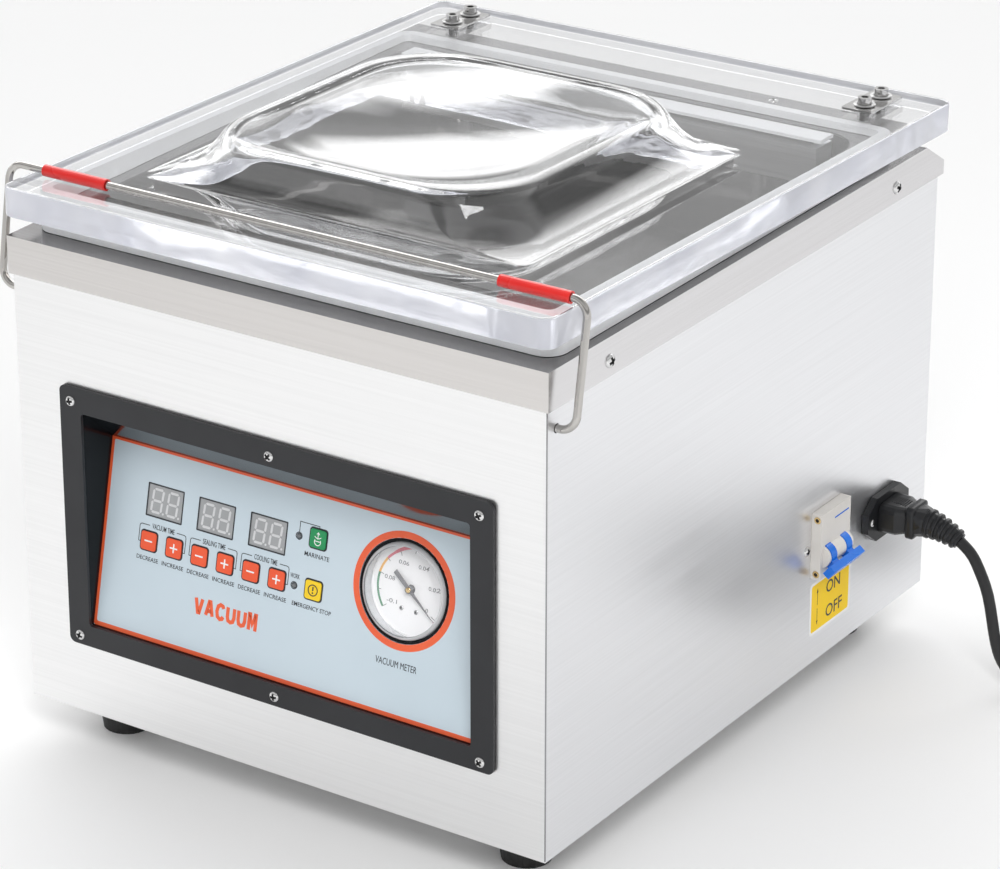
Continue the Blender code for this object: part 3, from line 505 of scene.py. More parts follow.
def cord_points():
    """The cord's middle line: down from its exit, over the floor, round the coil, into the plug."""
    outward = Vector((math.cos(PLUG_AT), math.sin(PLUG_AT), 0))
    along = Vector((-outward.y, outward.x, 0))
    leave = COIL_CENTRE + outward * COIL_COLUMNS[0]
    points = through(RUN_STOPS, 4) + coil_points(40)
    for k in range(1, 6):
        t = k / 5
        rise = COIL_LAYERS[1] + (PLUG_Z - COIL_LAYERS[1]) * smoothstep(t)
        points.append(leave + along * (PLUG_GAP * t) + Vector((0, 0, rise)))
    return points


CORD_LINE = cord_points()
cord = solid("supply_cord", tube(CORD_LINE, CORD_R, 16), weld=False)
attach(cord, "base")
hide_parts("power_cord", "cord_coil")


# -------- finishes

def steel(name, dark, light, rough, grain, top=None, scale=6.0, height=0.000003, across=None, top_painted_shade=None):
    """Sheet metal with a brushed grain, and another grain on top where the sheet lies flat.

    across multiplies a painted shade or painted light into the faces that look right; the argument after it
    multiplies a painted shade into the faces that look up.
    """
    tree, shader = finish_of(name, Metallic=1.0)
    streaks = noise_of(tree, scale, grain, 5)
    if top:
        flat = noise_of(tree, scale, top, 5)
        choose = node(tree, "Mix")
        tree.links.new(facing_part(tree, "Z", 0.6, 0.8), choose.inputs[0])
        tree.links.new(streaks, choose.inputs[VALUE_A])
        tree.links.new(flat, choose.inputs[VALUE_B])
        streaks = choose.outputs[VALUE_OUT]
    tint = blend_colours(tree, spread(tree, streaks, 0, 1), dark, light)
    # Painted shade and painted light, multiplied into the colour by the way a face looks: right, and up.
    for axis, painted_light_tint in (("X", across), ("Z", top_painted_shade)):
        if painted_light_tint:
            cast = blend_colours(tree, facing_part(tree, axis, 0.4, 0.8), WHITE, painted_light_tint)
            shade = colour_mix(tree, "MULTIPLY")
            shade.inputs[0].default_value = 1.0
            tree.links.new(tint, shade.inputs[COLOUR_A])
            tree.links.new(cast, shade.inputs[COLOUR_B])
            tint = shade.outputs[COLOUR_OUT]
    tree.links.new(tint, shader.inputs["Base Color"])
    both = node(tree, "Math")
    both.operation = "ADD"
    clouds = noise_of(tree, 14, EVEN, 3)
    for k, (source, share) in enumerate(((streaks, 0.7), (clouds, 0.3))):
        tree.links.new(spread(tree, source, rough[0] * share, rough[1] * share), both.inputs[k])
    tree.links.new(both.outputs[0], shader.inputs["Roughness"])
    relief(tree, shader, streaks, height)


def plastic(name, dark, light, rough, scale=900, height=0.00002, clouds=25, **sockets):
    """Moulded, painted or printed stuff: a fine pebble relief, a slow drift in colour and gloss."""
    tree, shader = finish_of(name, **sockets)
    drift = noise_of(tree, clouds, EVEN, 3)
    tree.links.new(blend_colours(tree, spread(tree, drift, 0, 1), dark, light), shader.inputs["Base Color"])
    tree.links.new(spread(tree, drift, *rough), shader.inputs["Roughness"])
    relief(tree, shader, noise_of(tree, scale, EVEN, 2), height)


def clear(name, tint, rough, height, coat=0.0):
    """Clear plastic with faint wipe marks. Lamps shine straight through it."""
    tree, shader = finish_of(name, Base_Color=(*tint, 1), Transmission_Weight=1.0, IOR=ACRYLIC_IOR,
                             Coat_Weight=coat, Coat_Roughness=0.01, Coat_IOR=1.9)
    marks = noise_of(tree, 30, (1, 3, 1), 4)
    tree.links.new(spread(tree, marks, *rough, 0.5, 0.8), shader.inputs["Roughness"])
    relief(tree, shader, noise_of(tree, 18, EVEN, 2), height)
    lamps = node(tree, "LightPath")
    open_way = node(tree, "BsdfTransparent")
    mix = node(tree, "MixShader")
    tree.links.new(lamps.outputs["Is Shadow Ray"], mix.inputs[0])
    tree.links.new(shader.outputs[0], mix.inputs[1])
    tree.links.new(open_way.outputs[0], mix.inputs[2])
    tree.links.new(mix.outputs[0], tree.nodes["Material Output"].inputs["Surface"])


WALL_GRAIN, TOP_GRAIN = (1, 1, 130), (1, 130, 1)  # brushed level, across and along
# across: painted shade, darker on the faces that look right.
steel("brushed_stainless", (0.85, 0.85, 0.85), (0.9, 0.9, 0.9), (0.28, 0.38), WALL_GRAIN, TOP_GRAIN,
      across=(0.93, 0.935, 0.955))
steel("polished_stainless", (0.66, 0.655, 0.65), (0.76, 0.755, 0.75), (0.05, 0.12), (4, 4, 4),
      height=0.00002)
plastic("black_rubber", (0.01, 0.01, 0.01), (0.022, 0.022, 0.022), (0.5, 0.75), 1400, 0.0001)
steel("aluminium_bar", (0.62, 0.62, 0.63), (0.76, 0.76, 0.77), (0.25, 0.4), WALL_GRAIN, TOP_GRAIN)
plastic("seal_tape", (0.03, 0.028, 0.027), (0.045, 0.042, 0.04), (0.5, 0.65), 2500, 0.0001)
clear("clear_acrylic", (0.985, 0.99, 1.0), (0.0, 0.03), 0.00008, coat=0.5)
clear("gauge_glass", (0.99, 0.99, 1.0), (0.0, 0.02), 0.00001)
plastic("white_silicone", (0.78, 0.79, 0.81), (0.86, 0.87, 0.88), (0.35, 0.5), 700, 0.00005)
plastic("red_sleeve", (0.66, 0.008, 0.006), (0.78, 0.014, 0.01), (0.22, 0.34), 500, 0.00004,
        Coat_Weight=0.3)
plastic("charcoal_bezel", (0.013, 0.0135, 0.016), (0.019, 0.02, 0.023), (0.3, 0.4), 1600, 0.00004,
        Specular_IOR_Level=0.4)
plastic("black_gloss", (0.004, 0.005, 0.006), (0.007, 0.008, 0.01), (0.06, 0.12), 900, 0.000004,
        Specular_IOR_Level=0.15)
plastic("panel_blue_grey", (0.545, 0.64, 0.705), (0.585, 0.68, 0.745), (0.34, 0.46), 2200, 0.00002,
        clouds=12)
plastic("display_face", (0.33, 0.34, 0.35), (0.37, 0.38, 0.39), (0.16, 0.24), 900, 0.000005)
plastic("orange_key", (0.8, 0.085, 0.022), (0.88, 0.105, 0.03), (0.3, 0.42), 1500, 0.00003)
plastic("green_key", (0.003, 0.235, 0.07), (0.006, 0.285, 0.09), (0.3, 0.42), 1500, 0.00003)
plastic("yellow_key", (0.86, 0.56, 0.005), (0.92, 0.63, 0.008), (0.3, 0.42), 1500, 0.00003)
plastic("circuit_board", (0.008, 0.06, 0.022), (0.014, 0.09, 0.034), (0.3, 0.5), 500, 0.00004,
        clouds=120)
plastic("dial_white", (0.9, 0.9, 0.9), (0.94, 0.94, 0.94), (0.4, 0.55), 1500, 0.00001)
plastic("needle_grey", (0.2, 0.2, 0.21), (0.27, 0.27, 0.28), (0.3, 0.45), 1500, 0.00001,
        Metallic=0.4)
plastic("breaker_grey", (0.66, 0.635, 0.6), (0.74, 0.715, 0.68), (0.35, 0.48), 1200, 0.00004)
plastic("toggle_blue", (0.002, 0.145, 0.66), (0.004, 0.175, 0.74), (0.2, 0.32), 1200, 0.00003)
plastic("black_moulding", (0.006, 0.0065, 0.008), (0.011, 0.012, 0.014), (0.3, 0.42), 1300, 0.00006)
plastic("cord_sheath", (0.01, 0.01, 0.011), (0.018, 0.018, 0.019), (0.38, 0.5), 1300, 0.00006)
plastic("pump_casting", (0.3, 0.31, 0.32), (0.4, 0.41, 0.42), (0.45, 0.65), 350, 0.0003, Metallic=0.6)
plastic("motor_paint", (0.055, 0.065, 0.075), (0.08, 0.09, 0.1), (0.35, 0.5), 500, 0.0001)
# Painted shade darkens the deck's upward faces, and painted light brightens its faces that look right.
steel("deck_stainless", (0.62, 0.6, 0.585), (0.67, 0.65, 0.635), (0.13, 0.22), WALL_GRAIN, TOP_GRAIN,
      7.0, 0.000002, across=(1.06, 1.08, 1.12), top_painted_shade=(0.42, 0.425, 0.44))
# Near-black steel for the chamber's tub: painted shade for the dark space under the dome.
steel("tub_steel_painted_shade", (0.09, 0.087, 0.084), (0.16, 0.155, 0.15), (0.08, 0.18), (5, 5, 5),
      height=0.00001)
steel("wire_stainless", (0.46, 0.445, 0.425), (0.54, 0.525, 0.505), (0.08, 0.14), (60, 3, 3))
steel("screw_steel", (0.66, 0.66, 0.66), (0.8, 0.8, 0.8), (0.12, 0.22), (30, 30, 30))
# Near black, in screw recesses and the rivets' holes: painted shade.
plastic("recess_painted_shade", (0.012, 0.012, 0.013), (0.025, 0.025, 0.026), (0.5, 0.7))
plastic("acrylic_edge", (0.66, 0.675, 0.76), (0.88, 0.89, 0.94), (0.06, 0.2), 60, 0.0002, clouds=18,
        Transmission_Weight=0.35, IOR=ACRYLIC_IOR, Coat_Weight=0.3)
for ink, dark, light, rough in (
        ("dark", (0.012, 0.014, 0.02), (0.022, 0.025, 0.032), (0.4, 0.55)),
        ("orange", (0.78, 0.105, 0.032), (0.86, 0.13, 0.042), (0.35, 0.48)),
        ("pale", (0.58, 0.585, 0.6), (0.65, 0.655, 0.67), (0.35, 0.48)),
        ("white", (0.84, 0.84, 0.84), (0.9, 0.9, 0.9), (0.35, 0.48)),
        ("grey", (0.22, 0.22, 0.23), (0.28, 0.28, 0.29), (0.45, 0.6)),
        ("pink", (0.72, 0.17, 0.22), (0.78, 0.22, 0.27), (0.45, 0.6)),
        ("amber", (0.8, 0.42, 0.1), (0.86, 0.48, 0.14), (0.45, 0.6)),
        ("green", (0.09, 0.27, 0.16), (0.13, 0.32, 0.2), (0.45, 0.6))):
    plastic(ink + "_print", dark, light, rough)
plastic("label_yellow", (0.92, 0.6, 0.001), (0.98, 0.66, 0.003), (0.3, 0.42), 1500, 0.00003,
        Specular_IOR_Level=0.2)
# A pale tint on the clear gauge cover's rim: painted highlight.
plastic("gauge_rim_painted_highlight", (0.6, 0.62, 0.64), (0.8, 0.81, 0.83), (0.08, 0.2), 60, 0.0001, clouds=60,
        Transmission_Weight=0.25, IOR=ACRYLIC_IOR, Coat_Weight=0.4)
steel("brass", (0.66, 0.46, 0.2), (0.8, 0.6, 0.3), (0.18, 0.3), (20, 20, 20))
plastic("lamp_lens", (0.1, 0.11, 0.12), (0.16, 0.17, 0.18), (0.1, 0.18), Coat_Weight=0.5)

NODE_FINISHES = {"top_deck": "deck_stainless", "chamber_tub": "tub_steel_painted_shade"}
KEY_EDGE = 0.0005
NODE_EDGES = {
    "cabinet": 0.001, "top_deck": 0.0005, "panel_bezel": 0.0007, "control_housing": 0.0004,
    "breaker_body": 0.0008, "breaker_handle": 0.0005, "power_inlet": 0.0008, "power_connector": 0.0006,
    "wall_plug": 0.0008, "seal_bar": 0.0006, "hinge_plate_L": 0.0002, "hinge_plate_R": 0.0002,
    "pump_body": 0.001, "pump_motor": 0.0008, "transformer": 0.0008,
}


def wear(obj, *finishes):
    """Give a piece its finishes by name; each face keeps its own pick of them."""
    faces = obj.data.polygons
    picks = [min(face.material_index, len(finishes) - 1) for face in faces]
    obj.data.materials.clear()
    for finish in finishes:
        obj.data.materials.append(FINISHES[finish])
    for face, pick in zip(faces, picks):
        face.material_index = pick


SLOTS = {row["node"]: row["material_slot"] for row in frame["record"]["subparts"]}
for name, obj in NODES.items():
    wear(obj, NODE_FINISHES.get(name, SLOTS[name]))
    soften(obj, NODE_EDGES.get(name, KEY_EDGE if name.startswith("key_") else 0.0))
wear(cord, "cord_sheath")


def settle(obj, body, slot, *finishes):
    """Put a new piece on the body it rides on and give it its finishes, or the slot's own when none are
    given.
    """
    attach(obj, body)
    wear(obj, *(finishes or (slot,)))


def inlay(name, parts, place, body, slot, *finishes):
    """A new piece from several skins, such as a print, its points left as drawn."""
    settle(solid(name, gather(parts), place, weld=False), body, slot, *finishes)


def in_one(name, copies):
    """One new piece from a list of meshes."""
    work = bmesh.new()
    for copy in copies:
        work.from_mesh(copy)
    mesh = bpy.data.meshes.new(name)
    work.to_mesh(mesh)
    work.free()
    return soften(link(bpy.data.objects.new(name, mesh)))


# -------- the lid

LID = Matrix.Translation((0, -0.2193, 0.3296)) @ Matrix.Rotation(math.radians(-1.15), 4, "X")
LID_HALF_X, LID_LENGTH, LID_T, LID_CORNER = 0.184, 0.4418, 0.0173, 0.009
EASE = 0.0009  # rounding of the slab's cut edges
DOME_H, DOME_WALL = 0.0275, 0.004
DISH = 0.0058  # how far the dome's top sinks inside its lip
DOME_STOPS = ((0, 0), (0.3, 0.1), (0.58, 0.34), (0.78, 0.64), (0.9, 0.86), (1.02, 0.97), (1.25, 1.0))
DISH_RINGS = 24
DISH_REACH, DISH_POWER = 0.96, 1.7  # share of the top where the dish ends, and its curve
HINGE_X, HINGE_U = 0.1465, (0.4, 0.42)
SCREW_HOLE = 0.0028
AROUND = -0.05     # a ring just off the dome's foot, which keeps the slab's shading flat
BESIDE = EASE * 3  # a ring just inside the slab's edges, for the same
CORNER_STEPS = 12


def dome_ring(t, height, inset):
    """Outline of the dome: t is 0 at its foot, 1 where the slope meets the lip."""
    half = 0.13 - 0.031 * t - inset
    first, last = 0.0595 + 0.0105 * t + inset, 0.2925 - 0.0085 * t - inset
    corner = 0.028 + 0.024 * t - 0.018 * (1 - smoothstep(t / 0.35)) - inset
    return [(x, u, height) for x, u in rounded(-half, half, first, last, max(corner, 0.005), CORNER_STEPS)]


def dish_ring(share, height, inset):
    """Outline on the dome's top: share is 1 at the lip's crest and 0 in the middle."""
    half, reach, middle = (0.09125 - inset) * share, (0.10465 - inset) * share, 0.17725
    corner = min(0.058 - inset + (1 - share) * 0.11, half * 0.999)
    line = rounded(-half, half, middle - reach, middle + reach, corner, CORNER_STEPS)
    return [(x, u, height) for x, u in line]


def dome_skin(inset, drop):
    """Rings from the dome's middle down to its foot, one wall thickness in or none."""
    crest = LID_T + DOME_H - drop
    rings = []
    for k in range(DISH_RINGS + 1):
        share = k / DISH_RINGS
        sunk = DISH * max(1 - (share / DISH_REACH) ** DISH_POWER, 0)
        rings.append(dish_ring(share, crest - sunk, inset))
    slope = [(p.x, p.y) for p in through([(t, k, 0) for t, k in DOME_STOPS], 4)]
    for t, k in reversed(slope[:-1]):
        rings.append(dome_ring(t, LID_T - drop + DOME_H * k, inset))
    return rings


def slab_ring(inset, height):
    """Outline of the slab, some way in from its sides."""
    half, last = LID_HALF_X - inset, LID_LENGTH - inset
    return [(x, u, height) for x, u in rounded(-half, half, inset, last, LID_CORNER - inset, CORNER_STEPS)]


def build_lid():
    """Slab and dome in one skin, drilled for the hinge screws; its cut edges look frosted."""
    arris = EASE * 0.3
    rings = dome_skin(0, 0)
    rings += [dome_ring(AROUND, LID_T, 0), slab_ring(BESIDE, LID_T)]
    rings += [slab_ring(EASE, LID_T), slab_ring(arris, LID_T - arris), slab_ring(0, LID_T - EASE)]
    rings += [slab_ring(0, EASE), slab_ring(arris, arris), slab_ring(EASE, 0)]
    rings += [slab_ring(BESIDE, 0), dome_ring(AROUND, 0, DOME_WALL)]
    rings += [dome_ring(0, 0, DOME_WALL)] + list(reversed(dome_skin(DOME_WALL, DOME_WALL)))
    lid = solid("lid_acrylic", loft(rings, caps=False), LID)
    verts, faces = lathe([(0, -0.01), (SCREW_HOLE, -0.01), (SCREW_HOLE, 0.03), (0, 0.03)], 24)
    holes = [([(x + side * HINGE_X, y + u, z) for x, y, z in verts], faces)
             for side in (-1, 1) for u in HINGE_U]
    lid = soften(carve(lid, solid("lid_drill", gather(holes), LID)))
    settle(lid, "lid", "clear_acrylic", "clear_acrylic", "acrylic_edge")
    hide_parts("lid")
    back = LID.inverted()
    for face in lid.data.polygons:
        x, u, _ = back @ face.center
        across = abs(x) - LID_HALF_X + LID_CORNER
        along = max(LID_CORNER - u, u - LID_LENGTH + LID_CORNER)
        reach = math.hypot(across, along) if across > 0 and along > 0 else max(across, along)
        face.material_index = 1 if reach > LID_CORNER - EASE else 0


build_lid()


def build_seam():
    """The folded joint down the cabinet's front right edge."""
    proud, wide, short = 0.00008, 0.0006, 0.001
    corners = [NODES["cabinet"].matrix_world @ Vector(c) for c in NODES["cabinet"].bound_box]
    x, y = max(c.x for c in corners) + proud, min(c.y for c in corners) - proud
    line = [(x, y), (x, y + wide), (x - wide, y + wide), (x - wide, y)]
    low, high = min(c.z for c in corners) + short, max(c.z for c in corners) - short
    seam = solid("front_seam", prism(line, low, high))
    settle(seam, "base", "brushed_stainless", "grey_print")


build_seam()


# -------- the bail's wire

WIRE_R = 0.00225


def build_wire():
    """One wire: a stub in each side, two legs and the bar across the lid."""
    foot, rise = Vector((0, -0.205, 0.2813)), Vector((0, 0.012, 0.0697))
    up, across, height = rise.normalized(), Vector((1, 0, 0)), rise.length
    left, right, bend, steps = -0.1965, 0.1915, 0.0095, 12
    turns = [math.pi / 2 * k / steps for k in range(steps + 1)]
    line = [across * (right - 0.017)]
    for centre, start, end in ((across * (right - bend) + up * bend, -up, across),
                               (across * (right - bend) + up * (height - bend), across, up),
                               (across * (left + bend) + up * (height - bend), up, -across),
                               (across * (left + bend) + up * bend, -across, -up)):
        line += [centre + (start * math.cos(a) + end * math.sin(a)) * bend for a in turns]
    line.append(across * (left + 0.022))
    wire = solid("bail_bent_wire", tube(line, WIRE_R, 24), Matrix.Translation(foot))
    settle(wire, "bail", SLOTS["bail_wire"], "wire_stainless")
    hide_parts("bail_wire")


build_wire()


# -------- screws

def screw_head(radius):
    """A pan head with a cross recess, its seat at zero."""
    profile = [(0, 0.5), (0.3, 0.485), (0.55, 0.43), (0.78, 0.33),
               (0.93, 0.2), (1.0, 0.06), (1.0, 0.0), (0, 0.0)]
    head = solid("screw_head", lathe([(r * radius, h * radius) for r, h in profile], 32))
    arm, reach, floor = 0.22 * radius, 0.66 * radius, 0.1 * radius
    cross = [(reach, -arm), (reach, arm), (arm, arm), (arm, reach), (-arm, reach), (-arm, arm),
             (-reach, arm), (-reach, -arm), (-arm, -arm), (-arm, -reach), (arm, -reach), (arm, -arm)]
    head = carve(head, solid("screw_tool", prism(cross, floor, radius)))
    mesh = head.data
    bpy.data.objects.remove(head)
    # Faces in the cross are marked for the second finish, a near-black painted shade.
    for face in mesh.polygons:
        near = max(abs(face.center.x), abs(face.center.y)) <= reach * 1.001
        cut = abs(face.normal.z) < 0.2 or abs(face.center.z - floor) < 0.02 * radius
        face.material_index = 1 if near and cut else 0
    return mesh


def fix_screws(name, head, body, places):
    """One piece holding every screw of a kind: a place, the way it faces and its turn."""
    copies = []
    for place, normal, spin in places:
        copies.append(head.copy())
        copies[-1].transform(facing(place, normal, spin))
    settle(in_one(name, copies), body, "polished_stainless", "screw_steel", "recess_painted_shade")
    for copy in copies:
        bpy.data.meshes.remove(copy)


BEZEL_FACE, SIDE_FACE, SKIRT_FACE = -0.2166, 0.1799, 0.182
BEZEL_SCREWS = ((-0.14, 0.225, 12), (0, 0.225, 50), (0.139, 0.225, 28),
                (-0.14, 0.077, 71), (0, 0.077, 5), (0.139, 0.077, 40))
SKIRT_SCREWS = ((1, -0.1565, 20), (1, 0.158, 63), (-1, -0.1565, 40), (-1, 0.158, 8))
SWITCH_SCREWS = ((0.0672, 15), (0.115, 55))
INLET_SCREWS = ((0.1385, 30), (0.1785, 66))
FRONT, RIGHT, UP = (0, -1, 0), (1, 0, 0), (0, 0, 1)
PLATE_TOP = LID_T + 0.0018
WASHER = ((0.0046, 0.0), (0.0062, 0.0), (0.0065, 0.0003),
          (0.0065, 0.0008), (0.0062, 0.0011), (0.0046, 0.0011))


def build_screws():
    small, large = screw_head(0.0032), screw_head(0.004)
    fix_screws("bezel_screws", small, "base",
               [((x, BEZEL_FACE, z), FRONT, spin) for x, z, spin in BEZEL_SCREWS])
    fix_screws("skirt_screws", large, "base",
               [((side * SKIRT_FACE, y, 0.303), (side, 0, 0), spin) for side, y, spin in SKIRT_SCREWS])
    fix_screws("switch_screws", small, "base",
               [((SIDE_FACE, y, 0.103), RIGHT, spin) for y, spin in SWITCH_SCREWS])
    fix_screws("inlet_screws", screw_head(0.0022), "base",
               [((SIDE_FACE + 0.0048, y, 0.0951), RIGHT, spin) for y, spin in INLET_SCREWS])
    fix_screws("deck_screw", small, "base", [((0.082, 0.186, 0.3168), UP, 33)])


def build_washers():
    for side, letter in ((-1, "L"), (1, "R")):
        places = [LID @ Matrix.Translation((side * HINGE_X, u, PLATE_TOP)) for u in HINGE_U]
        pair = [solid("washer", lathe(WASHER, 32, True), place) for place in places]
        washers = in_one("hinge_washers_" + letter, [ring.data for ring in pair])
        settle(washers, "lid", "polished_stainless", "screw_steel")
        for ring in pair:
            bpy.data.objects.remove(ring)


build_screws()
build_washers()


# -------- the panel's print, displays, keys and lamps

PANEL = Matrix.Translation((0, -0.2123, 0.0851)) @ Matrix.Rotation(math.radians(90 - 12.3), 4, "X")
INK = (-0.00029, -0.00022)  # heights of the print on the panel
KEY_X = [-0.0998 + 0.0182 * k for k in range(6)]
KEY_V, KEY_HALF = 0.0574, 0.00535
KEY_LINE = 0.00042  # width of the lines between keys and their names
GREEN, YELLOW = (0.0161, 0.0871), (0.0165, 0.0574)
LAMPS = ((0.0029, 0.0858), (0.0031, 0.057))
DISPLAYS = (-0.0912, -0.0547, -0.0182)
DISPLAY_V = 0.0818
GAUGE = (0.0759, 0.0719)


def square(x, v, half, corner):
    return rounded(x - half, x + half, v - half, v + half, corner, 5)


def build_orange_print():
    frame_line = band(rounded(-0.1336, 0.1336, -0.0008, 0.1137, 0.002),
                      rounded(-0.1312, 0.1312, 0.0017, 0.111, 0.001), *INK)
    ring = band(circle(*GAUGE, 0.03375, 96), circle(*GAUGE, 0.0298, 96), *INK)
    word = big_word("VACUUM", -0.064, -0.0185, 0.0235, 0.0342, 0.0023, *INK)
    inlay("panel_print_orange", [frame_line, ring, word], PANEL, "base", "orange_key", "orange_print")


def build_dark_print():
    parts = []
    for k, label in enumerate(("VACUUM TIME", "SEALING TIME", "COOLING TIME")):
        left, right = KEY_X[2 * k], KEY_X[2 * k + 1]
        parts.append(letters(label, left + 0.0013, right - 0.0009, 0.0651, 0.0682, *INK))
        for x, way in ((left, -1), (right, 1)):
            far, low = x + way * 0.0075, KEY_V - 0.0012
            corner = [(far, low), (far, 0.0652), (far - way * 0.0004, 0.0662), (far - way * 0.0014, 0.0666)]
            end = left - 0.0004 if way < 0 else right + 0.0008
            parts.append(stroke([(x + way * KEY_HALF, low)] + corner + [(end, 0.0666)], KEY_LINE, *INK))
    for k, x in enumerate(KEY_X):
        word = "INCREASE" if k % 2 else "DECREASE"
        parts.append(letters(word, x - 0.0077, x + 0.0077, 0.0456, 0.0481, *INK))
    parts.append(letters("MARINATE", 0.0078, 0.0247, 0.0757, 0.0783, *INK))
    parts.append(letters("EMERGENCY STOP", 0.003, 0.0298, 0.0456, 0.0481, *INK))
    parts.append(letters("WORK", 0, 0.0064, 0.0611, 0.0638, *INK))
    parts.append(letters("VACUUM METER", 0.0625, 0.09, 0.0279, 0.0318, *INK, bold=0.0))
    for x, v in [(x, KEY_V) for x in KEY_X] + [GREEN, YELLOW]:
        parts.append(band(square(x, v, 0.0063, 0.0022), square(x, v, KEY_HALF - 0.0001, 0.0015), *INK))
    for x, v in LAMPS:
        parts.append(band(circle(x, v, 0.0023, 32), circle(x, v, 0.00185, 32), *INK))
    x, v = LAMPS[0]
    line = [(x, v + 0.0022), (x, 0.0942), (GREEN[0], 0.0942), (GREEN[0], 0.0934)]
    parts.append(stroke(line, KEY_LINE, *INK))
    for x in DISPLAYS:
        outer, inner = (rounded(x - half, x + half, DISPLAY_V - tall, DISPLAY_V + tall, corner, 3)
                        for half, tall, corner in ((0.013, 0.0099, 0.0006), (0.0122, 0.0091, 0.0003)))
        parts.append(band(outer, inner, *INK))
    inlay("panel_print_dark", parts, PANEL, "base", "charcoal_bezel", "dark_print")


def digit(x, v):
    """The seven bars and the point of one unlit figure, leaning a little."""
    wide, tall, bar, gap, lean = 0.0034, 0.0068, 0.00075, 0.0003, 0.08
    bars = []
    for level in (-tall, 0, tall):
        near, far = wide - gap - bar, wide - gap
        bars.append([(-far, level), (-near, level + bar), (near, level + bar),
                     (far, level), (near, level - bar), (-near, level - bar)])
    for side in (-wide, wide):
        for low, high in ((-tall, 0), (0, tall)):
            below, above = low + gap + bar, high - gap - bar
            bars.append([(side, low + gap), (side + bar, below), (side + bar, above),
                         (side, high - gap), (side - bar, above), (side - bar, below)])
    bars.append(circle(wide + 0.0018, -tall, 0.0007, 12))
    return [prism([(x + a + b * lean, v + b) for a, b in line], -0.00058, -0.00045) for line in bars]


def build_displays():
    for k, x in enumerate(DISPLAYS, start=1):
        parts = digit(x - 0.0057, DISPLAY_V) + digit(x + 0.0053, DISPLAY_V)
        inlay(f"display_digits_{k}", parts, PANEL, "base", "display_face", "pale_print")


def build_key_symbols():
    top, heavy, fine = (0.00041, 0.0005), 0.0009, 0.00045
    names = ["vacuum_less", "vacuum_more", "seal_less", "seal_more", "cool_less", "cool_more"]
    for k, (name, x) in enumerate(zip(names, KEY_X)):
        parts = [stroke([(x - 0.0027, KEY_V), (x + 0.0027, KEY_V)], heavy, *top)]
        if k % 2:
            parts += [stroke([(x, KEY_V - 0.0027), (x, KEY_V - 0.00045)], heavy, *top),
                      stroke([(x, KEY_V + 0.00045), (x, KEY_V + 0.0027)], heavy, *top)]
        inlay("symbol_" + name, parts, PANEL, "key_" + name, "dial_white", "white_print")
    x, v = GREEN
    lines = [[(x, v - 0.0002), (x, v + 0.0036)],
             [(x - 0.001, v + 0.0026), (x, v + 0.0037), (x + 0.001, v + 0.0026)],
             [(x - 0.0022, v + 0.0012), (x - 0.001, v + 0.0004),
              (x + 0.001, v + 0.0004), (x + 0.0022, v + 0.0012)],
             arc(x, v - 0.0016, 0.0021, 150, 390, 20),
             [(x - 0.0018, v - 0.0014), (x + 0.0018, v - 0.0014)]]
    parts = [stroke(line, fine, *top) for line in lines]
    inlay("symbol_marinate", parts, PANEL, "key_marinate", "dial_white", "white_print")
    x, v = YELLOW
    parts = [band(circle(x, v, 0.0034, 40), circle(x, v, 0.0028, 40), *top),
             stroke([(x, v - 0.0003), (x, v + 0.002)], 0.0008, *top),
             prism(circle(x, v - 0.0015, 0.0005, 12), *top)]
    inlay("symbol_stop", parts, PANEL, "key_stop", "charcoal_bezel", "dark_print")


def build_lamps():
    bulb = [(0, 0.0009), (0.0007, 0.0008), (0.0012, 0.0005), (0.0015, 0.0),
            (0.0016, -0.0004), (0.0016, -0.004), (0, -0.004)]
    for k, (x, v) in enumerate(LAMPS, start=1):
        lamp = solid(f"lamp_{k}", lathe(bulb, 24), PANEL @ Matrix.Translation((x, v, -0.0004)))
        settle(lamp, "base", "display_face", "lamp_lens")


build_orange_print()
build_dark_print()
build_displays()
build_key_symbols()
build_lamps()


# -------- the gauge

GAUGE_PLACE = PANEL @ Matrix.Translation((*GAUGE, 0))
DIAL_INK = (-0.00799, -0.0079)
ZERO, SWEEP = -39.0, 258.0  # degrees
ARC_R = 0.0222
DIAL_ARCS = (("pink", 0.4, 0.7, "pink_print"), ("amber", 0.7, 0.8, "amber_print"),
             ("green", 0.8, 1.0, "green_print"), ("red", -0.02, 0.03, "pink_print"))
RIM_FROM = 0.0253  # radius where the gauge cover's rim begins


def dial_angle(share):
    return ZERO + SWEEP * share


def build_dial():
    marks = []
    for k in range(11):
        turn = math.radians(dial_angle(k / 10))
        way = Vector((math.cos(turn), math.sin(turn)))
        reach = 0.003 if k % 2 == 0 else 0.0022
        marks.append(stroke([way * (ARC_R - reach), way * ARC_R], 0.00035, *DIAL_INK))
    for k, label in enumerate(("0", "0.02", "0.04", "0.06", "0.08", "-0.1")):
        turn = math.radians(dial_angle(k / 5))
        reach = 0.0152 if k in (2, 3) else 0.015
        half = 0.00085 * len(label)
        x, y = reach * math.cos(turn), reach * math.sin(turn)
        marks.append(letters(label, x - half, x + half, y - 0.0012, y + 0.0012, *DIAL_INK))
    inlay("dial_marks", marks, GAUGE_PLACE, "base", "dial_white", "grey_print")
    for name, first, last, finish in DIAL_ARCS:
        line = arc(0, 0, ARC_R, dial_angle(first), dial_angle(last), 40)
        skin = stroke(line, 0.0014, DIAL_INK[0] - 0.00001, DIAL_INK[1] - 0.00002)
        inlay("dial_arc_" + name, [skin], GAUGE_PLACE, "base", "dial_white", finish)


